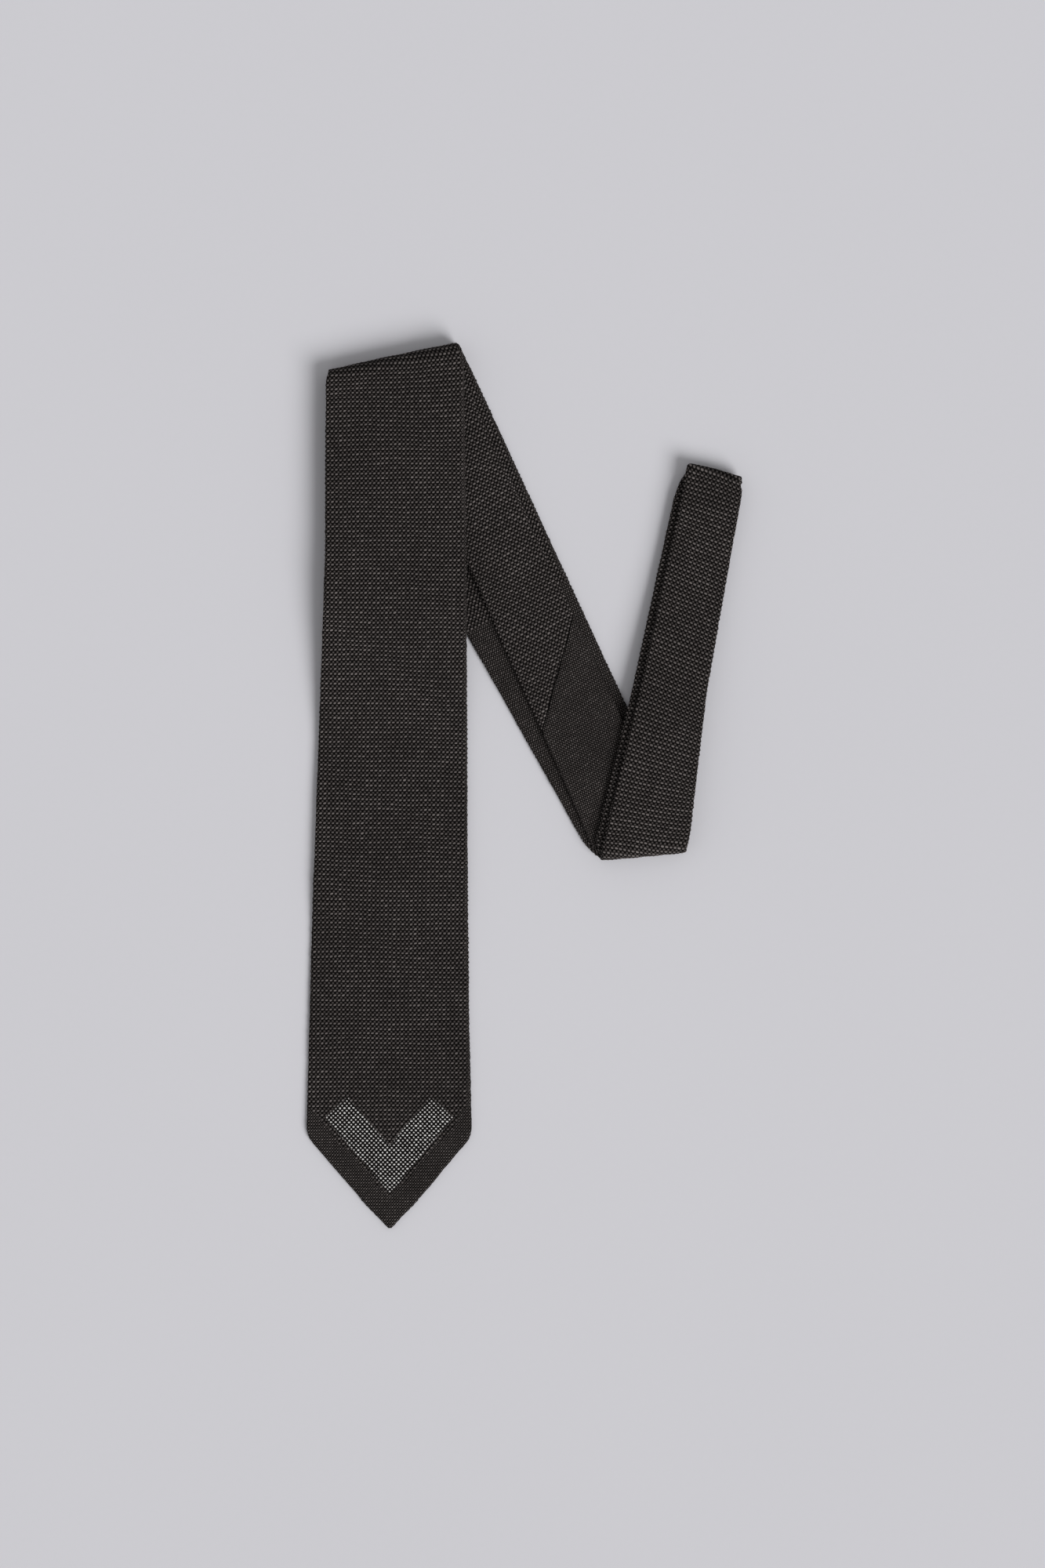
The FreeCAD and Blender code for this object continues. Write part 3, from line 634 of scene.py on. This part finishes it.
# -------------------- procedural materials
class Shader:
    """Short calls for building a material's node tree."""

    def __init__(self, name):
        self.material = bpy.data.materials.new(name)
        self.material.use_nodes = True
        self.tree = self.material.node_tree
        self.tree.nodes.clear()
        out = self.tree.nodes.new("ShaderNodeOutputMaterial")
        self.bsdf = self.tree.nodes.new("ShaderNodeBsdfPrincipled")
        self.tree.links.new(self.bsdf.outputs[0], out.inputs[0])
        self.where = self.node("ShaderNodeTexCoord").outputs["Object"]

    def put(self, socket, value):
        if isinstance(value, bpy.types.NodeSocket):
            self.tree.links.new(value, socket)
        elif value is not None:
            socket.default_value = value

    def node(self, kind, **inputs):
        made = self.tree.nodes.new(kind)
        for key, value in inputs.items():
            self.put(made.inputs[key.replace("_", " ")], value)
        return made

    def math(self, operation, a, b=None, c=None):
        made = self.tree.nodes.new("ShaderNodeMath")
        made.operation = operation
        for socket, value in zip(made.inputs, (a, b, c)):
            self.put(socket, value)
        return made.outputs[0]

    def add(self, a, b):
        return self.math("ADD", a, b)

    def sub(self, a, b):
        return self.math("SUBTRACT", a, b)

    def mul(self, a, b):
        return self.math("MULTIPLY", a, b)

    def oval(self, x, y, wide, high, inner=0.5, outer=1.2):
        """1 inside an oval round x = y = 0, fading to 0 at its rim."""
        x, y = self.math("DIVIDE", x, wide), self.math("DIVIDE", y, high)
        away = self.math("SQRT", self.add(self.mul(x, x), self.mul(y, y)))
        return self.step(away, outer, inner)

    def span(self, share, low, high):
        """From low to high as share goes from 0 to 1."""
        return self.math("MULTIPLY_ADD", share, high - low, low)

    def blend(self, a, b, share):
        """A share of a, and the rest of b."""
        return self.math("MULTIPLY_ADD", a, share, self.mul(b, 1 - share))

    def step(self, value, low, high):
        """Smoothly from 0 at low to 1 at high."""
        made = self.tree.nodes.new("ShaderNodeMapRange")
        made.interpolation_type = "SMOOTHSTEP"
        for key, given in (("Value", value), ("From Min", low), ("From Max", high)):
            self.put(made.inputs[key], given)
        return made.outputs[0]

    def mix(self, share, a, b):
        made = self.tree.nodes.new("ShaderNodeMix")
        made.data_type = "RGBA"
        for index, value in ((0, share), (6, a), (7, b)):
            self.put(made.inputs[index], value)
        return made.outputs[2]

    def noise(self, scale, detail=2.0, roughness=0.5, vector=None):
        made = self.node("ShaderNodeTexNoise", Scale=scale, Detail=detail, Roughness=roughness)
        self.put(made.inputs["Vector"], vector or self.where)
        return made.outputs[0]

    def finish(self, colour, roughness, height, distance, strength, **more):
        """Gives the material its colour, its roughness and the relief of its surface."""
        bump = self.node("ShaderNodeBump", Height=height, Distance=distance, Strength=strength)
        more.update(Base_Color=colour, Roughness=roughness, Normal=bump.outputs[0])
        for key, value in more.items():
            self.put(self.bsdf.inputs[key.replace("_", " ")], value)
        return self.material


def warm(level, tint=(1.17, 1.0, 0.955)):
    return tuple(level * t for t in tint) + (1.0,)


def weave_cells(sh, a, b, slope, long, tall, knot):
    """One pattern over cell coordinates, a across and b along: its floats, its gaps, which the cloth's
    colour fills with painted shade, and chance.
    """
    column, row = sh.math("ROUND", a), sh.math("ROUND", b)
    in_a, in_b = sh.sub(a, column), sh.sub(b, row)
    cell = sh.node("ShaderNodeCombineXYZ", X=column, Y=row).outputs[0]
    made = sh.node("ShaderNodeTexWhiteNoise", Vector=cell)
    made.noise_dimensions = "2D"
    split = sh.node("ShaderNodeSeparateColor", Color=made.outputs["Color"])
    wide = sh.add(sh.span(split.outputs[0], -0.04, 0.04), long)
    high = sh.span(split.outputs[1], tall - 0.03, tall + 0.03)
    bead = sh.oval(in_a, sh.sub(in_b, sh.mul(in_a, slope)), wide, high, 0.6, 1.3)
    side_a = sh.sub(sh.math("ABSOLUTE", in_a), 0.5)
    side_b = sh.sub(sh.math("ABSOLUTE", in_b), 0.5)
    small = sh.oval(side_a, side_b, 0.2, 0.17, outer=1.3)
    line = sh.step(sh.math("ABSOLUTE", sh.add(in_b, 0.27)), 0.14, 0.04)
    between = sh.oval(side_a, in_b, 0.2, 0.22)
    above = sh.oval(in_a, side_b, 0.24, 0.2)
    gaps = sh.math("MAXIMUM", sh.mul(line, 0.75), sh.math("MAXIMUM", between, above))
    floats = sh.math("MAXIMUM", bead, sh.mul(small, knot))
    shaded_gaps = sh.mul(gaps, sh.sub(1.0, floats))
    return floats, shaded_gaps, made.outputs["Value"]


# The weave's looks. Sizes are shares of a cell, and levels are reflected light.
BEAD_LONG, NECK_BEAD_LONG, BEAD_TALL = 0.32, 0.36, 0.195  # a bead's half size
KNOT, NECK_KNOT = 0.48, 0.42  # the small float between two rows, against a bead
BEAD_LEAN, NECK_BEAD_LEAN = 0.2, -0.04  # a bead's rise along the strap over its run across it
# The floats' lighter colour is painted highlight for the silk's sheen, and the second number adds a
# painted glint to a few floats.
BEAD_SHEEN_LEVEL, PAINTED_GLINT = (0.12, 0.16), 0.03
GROUND = (0.002, 0.024)  # the cloth round the floats
# The gaps' near-black colour is painted shade in the weave's holes.
GAP_SHADE = 0.0008  # the gaps
SHIFT = 0.12  # how far a cell is out of place at most
FINE_CELLS = (1.62, 1.55)  # the finer weave's cells to one of the usual, across and along
FINE_LEAN, FINE_LONG, FINE_TALL = 0.3, 0.27, 0.2
PALE_CELLS = (0.94, 1.03)  # and the chevron's
PALE_LONG, PALE_TALL = 0.23, 0.19
PALE_FLOAT = (0.85, 0.84, 0.82, 1)
WOBBLE = 0.8  # unevenness of the chevron's edges, in mm
SEAM = (0.42, 0.16)  # a bias join's dark line, from its rim to its middle, in mm


def chevron_share(sh, a, b, vector):
    """1 on the plain chevron, whose arms run parallel to the point's edges."""
    across = sh.mul(sh.math("ABSOLUTE", a), CELL_WIDE)
    up = sh.sub(sh.mul(b, CELL_LONG), strap.start)
    level = sh.sub(up, sh.mul(across, 1 / POINT_SPREAD))
    wobble = sh.span(sh.noise(1.6, vector=vector), -WOBBLE, WOBBLE)
    level = sh.add(level, wobble)
    low, high = CHEVRON
    band = sh.mul(sh.step(level, low - 0.5, low + 0.5), sh.step(level, high + 0.5, high - 0.5))
    arm = sh.add(up, sh.mul(across, POINT_SPREAD))
    return sh.mul(band, sh.step(sh.add(arm, wobble), CHEVRON_ARM + 0.8, CHEVRON_ARM - 0.8))


def cloth_material():
    sh = Shader("open_weave_cloth")
    attribute = sh.tree.nodes.new("ShaderNodeAttribute")
    attribute.attribute_name = "weave"
    vector = attribute.outputs["Vector"]
    a0, b0, zone = sh.node("ShaderNodeSeparateXYZ", Vector=vector).outputs
    flow = sh.node("ShaderNodeTexNoise", Vector=vector, Scale=0.55, Detail=2.0)
    shift = sh.node("ShaderNodeSeparateColor", Color=flow.outputs["Color"])
    a = sh.add(a0, sh.span(shift.outputs[0], -SHIFT, SHIFT))
    b = sh.add(b0, sh.span(shift.outputs[1], -SHIFT, SHIFT))
    neck = sh.step(zone, 1.3, 1.7)
    zone = sh.sub(zone, sh.mul(neck, 2.0))
    long = sh.span(neck, BEAD_LONG, NECK_BEAD_LONG)
    knot = sh.span(neck, KNOT, NECK_KNOT)
    lean = sh.span(neck, BEAD_LEAN, NECK_BEAD_LEAN)
    usual = weave_cells(sh, a, b, lean, long, BEAD_TALL, knot)
    fine_a, fine_b = sh.mul(a, FINE_CELLS[0]), sh.mul(b, FINE_CELLS[1])
    fine = weave_cells(sh, fine_a, fine_b, FINE_LEAN, FINE_LONG, FINE_TALL, KNOT)
    zone = sh.step(zone, 0.3, 0.7)
    chevron = chevron_share(sh, a0, b0, vector)
    pale_a, pale_b = sh.mul(a, PALE_CELLS[0]), sh.mul(b, PALE_CELLS[1])
    pale_bead, pale_shaded_gaps, pale_chance = weave_cells(sh, pale_a, pale_b, 0.0, PALE_LONG, PALE_TALL, 1.0)
    bead, shaded_gaps, chance = [sh.add(x, sh.mul(zone, sh.sub(y, x))) for x, y in zip(usual, fine)]

    # the floats, coloured lighter as painted highlight for the silk's sheen, with fibres, paler and
    # darker patches, and a painted glint on a few
    fibre = sh.noise(2600.0, 3.0, 0.65)
    patch = sh.noise(45.0, 3.0)
    painted_sheen = sh.span(chance, *BEAD_SHEEN_LEVEL)
    painted_sheen = sh.add(painted_sheen, sh.mul(sh.math("POWER", chance, 9.0), PAINTED_GLINT))
    patch = sh.blend(patch, sh.noise(9.0, 2.0), 0.65)
    painted_sheen = sh.mul(painted_sheen, sh.span(patch, 0.5, 1.5))
    painted_sheen = sh.mul(painted_sheen, sh.span(fibre, 0.55, 1.45))
    red, blue = sh.mul(painted_sheen, 1.12), sh.mul(painted_sheen, 0.96)
    bead_sheen_colour = sh.node("ShaderNodeCombineColor", Red=red, Green=painted_sheen, Blue=blue).outputs[0]

    # the cloth between them, its gaps with painted shade, and the chevron
    ground_level = sh.mul(sh.span(fibre, 0.5, 1.5), sh.span(patch, 0.6, 1.4))
    ground = sh.mix(ground_level, warm(GROUND[0]), warm(GROUND[1]))
    # painted shade: the gaps darker than the cloth round them
    colour = sh.mix(shaded_gaps, ground, warm(GAP_SHADE))
    # painted highlight: the floats' sheen laid into their colour
    colour = sh.mix(bead, colour, bead_sheen_colour)
    pale_level = sh.mul(sh.span(pale_chance, 0.6, 1.1), sh.span(fibre, 0.65, 1.35))
    pale_colour = sh.mix(pale_level, warm(0.22), PALE_FLOAT)
    # painted shade in the chevron's gaps
    pale = sh.mix(pale_shaded_gaps, warm(0.016), warm(0.001))
    pale = sh.mix(pale_bead, pale, pale_colour)
    colour = sh.mix(chevron, colour, pale)

    for at, slope in (LOWER_JOIN, UPPER_JOIN):
        square = math.hypot(1, slope)
        gap = sh.sub(sh.mul(b0, CELL_LONG / square), at / square)
        gap = sh.sub(gap, sh.mul(a0, slope * CELL_WIDE / square))
        seam = sh.step(sh.math("ABSOLUTE", gap), *SEAM)
        colour = sh.mix(seam, colour, warm(0.0015))
        bead = sh.mul(bead, sh.sub(1.0, seam))
    height = sh.sub(bead, sh.mul(shaded_gaps, 0.9))
    pale_height = sh.sub(pale_bead, sh.mul(pale_shaded_gaps, 0.7))
    height = sh.add(height, sh.mul(chevron, sh.sub(pale_height, height)))
    height = sh.add(height, sh.mul(fibre, 0.35))
    return sh.finish(colour, sh.span(bead, 0.66, 0.5), height, 0.00035, 0.9, Specular_IOR_Level=0.03)


def satin_material():
    sh = Shader("lining_satin")
    stretched = sh.node("ShaderNodeMapping", Vector=sh.where, Scale=(2600.0, 500.0, 500.0)).outputs[0]
    thread = sh.noise(1.0, vector=stretched)
    patch = sh.noise(60.0, 3.0)
    colour = sh.mix(sh.blend(thread, patch, 0.5), warm(0.006), warm(0.03))
    return sh.finish(colour, sh.span(patch, 0.3, 0.45), thread, 0.00008, 0.6, Anisotropic=0.5,
                     Specular_IOR_Level=0.5, Sheen_Weight=0.1)


def wool_material():
    sh = Shader("brushed_wool")
    hair = sh.noise(1400.0, 4.0, 0.7)
    patch = sh.noise(120.0, 3.0)
    colour = sh.mix(sh.blend(hair, patch, 0.6), warm(0.008), warm(0.03))
    return sh.finish(colour, sh.span(hair, 0.85, 0.95), hair, 0.0003, 0.8, Sheen_Weight=0.4)


def thread_material():
    sh = Shader("sewing_thread")
    wave = sh.node("ShaderNodeTexWave", Vector=sh.where, Scale=900.0, Distortion=1.5)
    wave.bands_direction = "DIAGONAL"
    fuzz = sh.noise(4000.0, 2.0)
    level = sh.blend(wave.outputs[1], fuzz, 0.6)
    colour = sh.mix(level, warm(0.008), warm(0.07))
    return sh.finish(colour, sh.span(fuzz, 0.4, 0.6), level, 0.00006, 0.8,
                     Specular_IOR_Level=0.5, Sheen_Weight=0.15)


def label_material():
    sh = Shader("woven_label")
    weft = sh.node("ShaderNodeTexWave", Vector=sh.where, Scale=620.0, Distortion=0.6)
    weft.bands_direction = "Y"
    warp = sh.node("ShaderNodeTexWave", Vector=sh.where, Scale=430.0, Distortion=0.4)
    patch = sh.noise(150.0, 3.0)
    level = sh.mul(sh.add(weft.outputs[1], warp.outputs[1]), 0.35)
    level = sh.add(level, sh.mul(patch, 0.3))
    colour = sh.mix(level, warm(0.02), warm(0.09))
    return sh.finish(colour, sh.span(patch, 0.42, 0.62), level, 0.00008, 0.7, Sheen_Weight=0.2)


FLOOR_COLOURS = (0.765, 0.758, 0.80, 1), (0.795, 0.788, 0.83, 1)


def floor_material():
    sh = Shader("pale_floor")
    grain = sh.noise(300.0, 3.0)
    level = sh.blend(grain, sh.noise(3.0, 2.0), 0.3)
    return sh.finish(sh.mix(level, *FLOOR_COLOURS), 0.85, grain, 0.00004, 0.3)


MATERIALS = {
    "tie_cloth": cloth_material(),
    "interlining": wool_material(),
    "tipping": satin_material(),
    "sewing_thread": thread_material(),
    "label": label_material(),
}


# -------------------- the cloth
def row_near(s):
    return int(round(s / ROW))


def crease_rows(k):
    before, after = strap.spans[k]
    return row_near(min(before) - FADE - 2), row_near(max(after) + FADE + 2)


def past_join(join, after):
    """Picks faces beyond a bias join, or those before it."""
    at, slope = join
    return lambda c: ((c[:, 1] - at - slope * c[:, 0]) > 0) == after


top, bottom, low_inner, top_inner = [crease_rows(k) for k in CREASE_BODIES]
first_row, last_row = row_near(strap.start), row_near(strap.stop)
cloth_piece("front_cloth_blade", first_row, top[0], body="front_blade")
cloth_piece("front_cloth_crease", *top, crease=0)
for part, beyond in (("front", False), ("neck", True)):
    keep = past_join(LOWER_JOIN, beyond)
    cloth_piece(part + "_cloth_lower_run", top[1], bottom[0], body="middle_run", keep=keep)
cloth_piece("neck_cloth_outer_crease", *bottom, crease=1)
cloth_piece("neck_cloth_loop", bottom[1], low_inner[0], body="neck_loop")
cloth_piece("neck_cloth_inner_crease", *low_inner, crease=3)
for part, beyond in (("neck", False), ("tail", True)):
    keep = past_join(UPPER_JOIN, beyond)
    cloth_piece(part + "_cloth_upper_run", low_inner[1], top_inner[0], body="middle_run", keep=keep)
cloth_piece("tail_cloth_crease", *top_inner, crease=4)
cloth_piece("tail_cloth_end", top_inner[1], last_row, body="tail_end")


# -------------------- what shows on the back
THREAD = 0.14  # radius of the sewing thread
THREAD_SIDES = 6
THREAD_TWIST = (0.12, 1.9)  # its unevenness, and the angle from point to point
THREAD_END = 0.35  # its thickness at the ends, against the rest


def box_mm(name):
    """A node's lowest and highest corners and its middle."""
    low, high = [np.array(corner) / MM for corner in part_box(name)]
    return low, high, (low + high) / 2


def rows_of(name, stretch):
    """Where a node begins and ends along the strap."""
    s = strap.locate(stretch, points_of(name)[:, :2])[1]
    return s.min(), s.max()


def stand_in(obj, name, body):
    """Attaches a piece to the body it moves with and hides the CAD node it stands for."""
    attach(obj, body)
    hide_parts(name)


def sheet_piece(name, ending, co, slot, body):
    """A grid of points, in mm, as a sheet of cloth that stands for a CAD node."""
    obj = new_mesh(name + ending, co, grid_faces(*co.shape[:2]), MATERIALS[slot])
    stand_in(obj, name, body)
    return obj


def tube(name, path, radius=THREAD):
    """A closed-ended thread along a path of points in mm."""
    path = np.asarray(path, float)
    tangent = np.gradient(path, axis=0)
    tangent /= np.linalg.norm(tangent, axis=1)[:, None]
    side = np.cross(tangent, [0, 0, 1.0])
    side /= np.maximum(np.linalg.norm(side, axis=1)[:, None], 1e-6)
    up = np.cross(side, tangent)
    angles = np.arange(THREAD_SIDES) * 2 * PI / THREAD_SIDES
    ring = side[:, None] * np.cos(angles)[:, None] + up[:, None] * np.sin(angles)[:, None]
    size, turn = THREAD_TWIST
    twist = 1 + size * np.sin(np.arange(len(path)) * turn)[:, None, None]
    taper = np.ones(len(path))
    taper[[0, -1]] = THREAD_END
    co = path[:, None] + ring * radius * twist * taper[:, None, None]
    base = np.arange(len(path) * THREAD_SIDES).reshape(len(path), THREAD_SIDES)
    after = np.roll(base, -1, axis=1)
    faces = np.stack([base[:-1], after[:-1], after[1:], base[1:]], axis=-1).reshape(-1, 4)
    obj = new_mesh(name, co, faces, MATERIALS["sewing_thread"])
    close_ends(obj, [list(base[0][::-1]), list(base[-1])])
    return obj


def close_ends(obj, rings):
    bm = bmesh.new()
    bm.from_mesh(obj.data)
    bm.verts.ensure_lookup_table()
    for ring in rings:
        bm.faces.new([bm.verts[i] for i in ring])
    bm.to_mesh(obj.data)
    bm.free()


STITCH, STITCH_STEP = 6.5, 0.65  # length, and step between points
STITCH_END = 1.0  # it stops this far from its node's ends
STITCH_IN = 0.5  # and runs this far in from the upper flap's edge
STITCH_SWAY = 0.75  # going this far to each side
STITCH_LIFT, STITCH_DIP = 0.12, 0.16  # its height over the back, and its rise and fall


def slip_stitch(name, stretch, body):
    """The long running stitch that closes the back, dipping under the flap's edge at every stitch."""
    first, last = rows_of(name, stretch)
    seed = sum(map(ord, name))
    s = np.arange(first + STITCH_END, last - STITCH_END, STITCH_STEP)
    phase = 2 * PI * s / STITCH + waves(s, 0, ((0.6, seed, 60),))
    left, right = strap.edges(s)
    v = (left + right) / 2 + FLAP_OVERLAP - STITCH_IN + STITCH_SWAY * np.sin(phase)
    v = v + waves(s, 0, ((0.2, seed + 1, 30),))
    h = -HALF_THICK + STITCH_LIFT + STITCH_DIP * np.cos(phase)
    stand_in(tube(name + "_thread", strap.place(v, s, h)), name, body)


slip_stitch("slip_stitch_blade", 0, "front_blade")
slip_stitch("slip_stitch_lower_run", 1, "middle_run")
slip_stitch("slip_stitch_near_neck_run", 2, "neck_loop")
slip_stitch("slip_stitch_far_neck_run", 3, "neck_loop")
slip_stitch("slip_stitch_upper_run", 4, "middle_run")
slip_stitch("slip_stitch_tail_end", 5, "tail_end")


TACK_THREAD = 0.13
TACK_TURNS, TACK_POINTS = 13, 8  # stitches in a bar tack, and points in each


def bar_tack(name, body):
    """Close stitches from side to side along a bar tack."""
    low, high, middle = box_mm(name)
    length, width = (high - low)[:2]
    t = np.linspace(0, 1, TACK_TURNS * TACK_POINTS + 1)
    turn = 2 * PI * TACK_TURNS * t
    x = low[0] + 0.2 + (length - 0.4) * t
    y = middle[1] + (width / 2 - 0.1) * np.sin(turn)
    path = np.column_stack([x, y, middle[2] + 0.12 * np.cos(turn)])
    stand_in(tube(name + "_thread", path, TACK_THREAD), name, body)


bar_tack("front_bar_tack", "front_blade")
bar_tack("tail_bar_tack", "tail_end")


LINING_DEPTH = 0.62  # the lining lies this far behind the strap's middle layer
LINING_ROWS, LINING_COLUMNS = 120, 97
LINING_END = 6.0  # it lies smooth nearer to its ends than this
LINING_WAVES, HEM_WAVES = ((0.12, 41, 26),), ((2, 42, 20),)
PUCKER, PUCKER_LONG, PUCKER_REACH = 0.1, 4.3, 9.0  # along its hems: height, length and how far in


def lining(name, stretch, body, inset):
    """The satin lining behind a point, slightly puckered along its hem."""
    first, last = rows_of(name, stretch)
    rows = np.linspace(first, last, LINING_ROWS)
    s, f = np.meshgrid(rows, np.linspace(-1, 1, LINING_COLUMNS), indexing="ij")
    left, right = strap.edges(rows)
    half = np.maximum((right - left) / 2 - inset, 0.3)[:, None]
    v = (right + left)[:, None] / 2 + half * f
    near_edge = np.exp(-((1 - np.abs(f)) * half / PUCKER_REACH) ** 2)
    pucker = PUCKER * near_edge * np.sin(2 * PI * s / PUCKER_LONG + waves(v, s, HEM_WAVES))
    pucker = pucker + waves(v, s, LINING_WAVES)
    h = -LINING_DEPTH + pucker * smooth((s - first) / LINING_END) * smooth((last - s) / LINING_END)
    sheet_piece(name, "_satin", strap.place(v, s, h), "tipping", body)


lining("front_tipping", 0, "front_blade", inset=1.6)
lining("tail_tipping", 5, "tail_end", inset=1.4)


KEEPER_ROWS, KEEPER_COLUMNS = 181, 31
KEEPER_BOW = 0.35  # its edges bow out this far
KEEPER_SPARE = 0.1  # its CAD solid is this much taller than the band's fold
KEEPER_PRESSED = 0.96  # and the fold is pressed to this share of its height
KEEPER_WEAVE = 1.7  # cell size of its weave
KEEPER_START = 300  # the first cell along it, clear of the strap's chevron and joins
KEEPER_RIBS, KEEPER_SEAM = (0.05, 1.38, 1.6), (0.06, 0.86)  # relief and its sizes; raised edges


def keeper():
    """The keeper: a narrow band of the tie's cloth, folded into a flat loop that takes the tail."""
    low, high, middle = box_mm("keeper_loop")
    length, wide, tall = high - low
    wide = wide / 2
    radius = (tall - KEEPER_SPARE) / 2
    straight = length / 2 - radius
    run, turn = 2 * straight, PI * radius
    total = 2 * (run + turn)
    d = np.linspace(0, total, KEEPER_ROWS)
    near, far = (d - run) / radius, (d - 2 * run - turn) / radius
    legs = [d < run, d < run + turn, d < 2 * run + turn]
    x = np.select(legs, [d - straight, straight + radius * np.sin(near), run + straight + turn - d],
                  -straight - radius * np.sin(far))
    z = np.select(legs, [-radius, -radius * np.cos(near), radius], radius * np.cos(far))
    across = np.linspace(-1, 1, KEEPER_COLUMNS)
    a, b = np.meshgrid(np.arange(KEEPER_ROWS), across, indexing="ij")
    x, z, d = x[a], z[a], d[a]
    y = b * wide + KEEPER_BOW * b * np.cos(x / straight * PI / 2)
    tall, long, broad = KEEPER_RIBS
    relief = tall * np.cos(2 * PI * d / long) * np.cos(2 * PI * b * wide / broad)
    relief = relief + KEEPER_SEAM[0] * (np.abs(b) > KEEPER_SEAM[1])
    co = np.stack([x, y, z * KEEPER_PRESSED + relief * np.sign(z) / 2], axis=-1) + middle
    obj = sheet_piece("keeper_loop", "_band", co, "tie_cloth", "front_blade")
    weave = np.stack([b * wide / KEEPER_WEAVE, d / KEEPER_WEAVE + KEEPER_START, 0 * d], axis=-1)
    set_vectors(obj, "weave", weave)


keeper()


LABEL_ROWS, LABEL_COLUMNS = 85, 41
LABEL_TURN = 0.93  # where its turned ends and its edges' ribs begin, as a share of its half size
LABEL_WAVES = ((0.1, 51, 16),)


def blank_label():
    """A plain woven label with turned ends and rounded corners, a little bowed."""
    low, high, middle = box_mm("blank_label")
    a, b = np.meshgrid(np.linspace(-1, 1, LABEL_ROWS), np.linspace(-1, 1, LABEL_COLUMNS), indexing="ij")
    half_x, half_y = (high - low)[:2] / 2
    end, edge = np.abs(a), np.abs(b)
    x = middle[0] + half_x * a * (1 - 0.015 * (end * edge) ** 8)
    y = middle[1] + half_y * b * (1 - 0.02 * (1 - end) - 0.03 * (end * edge) ** 6)
    z = middle[2] - 0.05 + waves(a * half_x, b * half_y, LABEL_WAVES)
    z = z - 0.1 * (end > LABEL_TURN) - 0.05 * np.exp(-(((edge - LABEL_TURN) / 0.03) ** 2))
    co, flat = np.stack([x, y, z], axis=-1), (2 * half_x, 2 * half_y)
    sheet_piece("blank_label", "_weave", co, "label", "front_blade")


blank_label()


BLOCK = 6.0  # one block of stitches is smaller than this
GROUP_TURNS, GROUP_POINTS = 6, 49


def blocks_of(name):
    """The separate blocks of a CAD node, each as its lowest and highest corners."""
    blocks = []
    for point in points_of(name):
        for block in blocks:
            if np.linalg.norm(block[0][:2] - point[:2]) < BLOCK:
                block.append(point)
                break
        else:
            blocks.append([point])
    return [(np.min(block, axis=0), np.max(block, axis=0)) for block in blocks]


def stitch_groups(name, body):
    """Stitch bars at each separate block of a CAD node, as one piece of several threads."""
    t = np.linspace(0, 1, GROUP_POINTS)
    turn = 2 * PI * GROUP_TURNS * t
    parts = []
    for number, (low, high) in enumerate(blocks_of(name)):
        size = high - low
        run, side = (0, 1) if size[0] > size[1] else (1, 0)
        path = np.zeros((GROUP_POINTS, 3))
        path[:, run] = low[run] + size[run] * t
        path[:, side] = (low[side] + high[side]) / 2 + size[side] * 0.4 * np.sin(turn)
        path[:, 2] = low[2] + 0.12 + 0.1 * np.cos(turn)
        parts.append(tube(f"{name}_{number}", path))
    whole = parts[0]
    with bpy.context.temp_override(active_object=whole, selected_editable_objects=parts):
        bpy.ops.object.join()
    whole.name = name + "_thread"
    stand_in(whole, name, body)


stitch_groups("label_stitches", "front_blade")
stitch_groups("keeper_tacks", "front_blade")

for name, node in NODES.items():
    for slot in MATERIALS:
        if name.startswith(slot):
            node.data.materials.clear()
            node.data.materials.append(MATERIALS[slot])


# -------------------- floor, light, camera, in metres
FLOOR = 4.0  # half its side
KEY_FROM = (0.57, -0.58, 0.62)  # direction of the soft key light
KEY_POWER, KEY_ANGLE = 2.22, 34  # and its angle in degrees
SKY_POWER = 0.34
MIDDLE = 0.006  # height of the folded tie's middle
CAMERA_HEIGHT = 3.0  # above that
VIEW_HEIGHT = 0.773  # length that the frame takes in there
VIEW_CENTRE = (-0.0014, 0.0004)
SENSOR = 36.0  # in mm


def build_stage():
    side = FLOOR / MM
    corners = [(-side, -side, 0), (side, -side, 0), (side, side, 0), (-side, side, 0)]
    floor = new_mesh("floor", corners, [(0, 1, 2, 3)], floor_material(), smooth_shade=False)
    sun = bpy.data.lights.new("key", "SUN")
    sun.energy = KEY_POWER
    sun.angle = math.radians(KEY_ANGLE)
    key = bpy.data.objects.new("key", sun)
    key.rotation_euler = Vector(KEY_FROM).to_track_quat("Z", "Y").to_euler()
    bpy.context.scene.collection.objects.link(key)
    world = bpy.data.worlds.new("studio")
    world.use_nodes = True
    sky = world.node_tree.nodes["Background"]
    sky.inputs["Color"].default_value = (1.0, 1.0, 1.0, 1)
    sky.inputs["Strength"].default_value = SKY_POWER
    bpy.context.scene.world = world


def build_camera():
    data = bpy.data.cameras.new("camera")
    data.sensor_fit = "VERTICAL"
    data.sensor_height = SENSOR
    data.lens = SENSOR * CAMERA_HEIGHT / VIEW_HEIGHT
    data.clip_end = 20.0
    camera = bpy.data.objects.new("camera", data)
    camera.location = (*VIEW_CENTRE, CAMERA_HEIGHT + MIDDLE)
    bpy.context.scene.collection.objects.link(camera)
    bpy.context.scene.camera = camera


build_stage()
build_camera()
bpy.context.scene.view_settings.view_transform = "Standard"
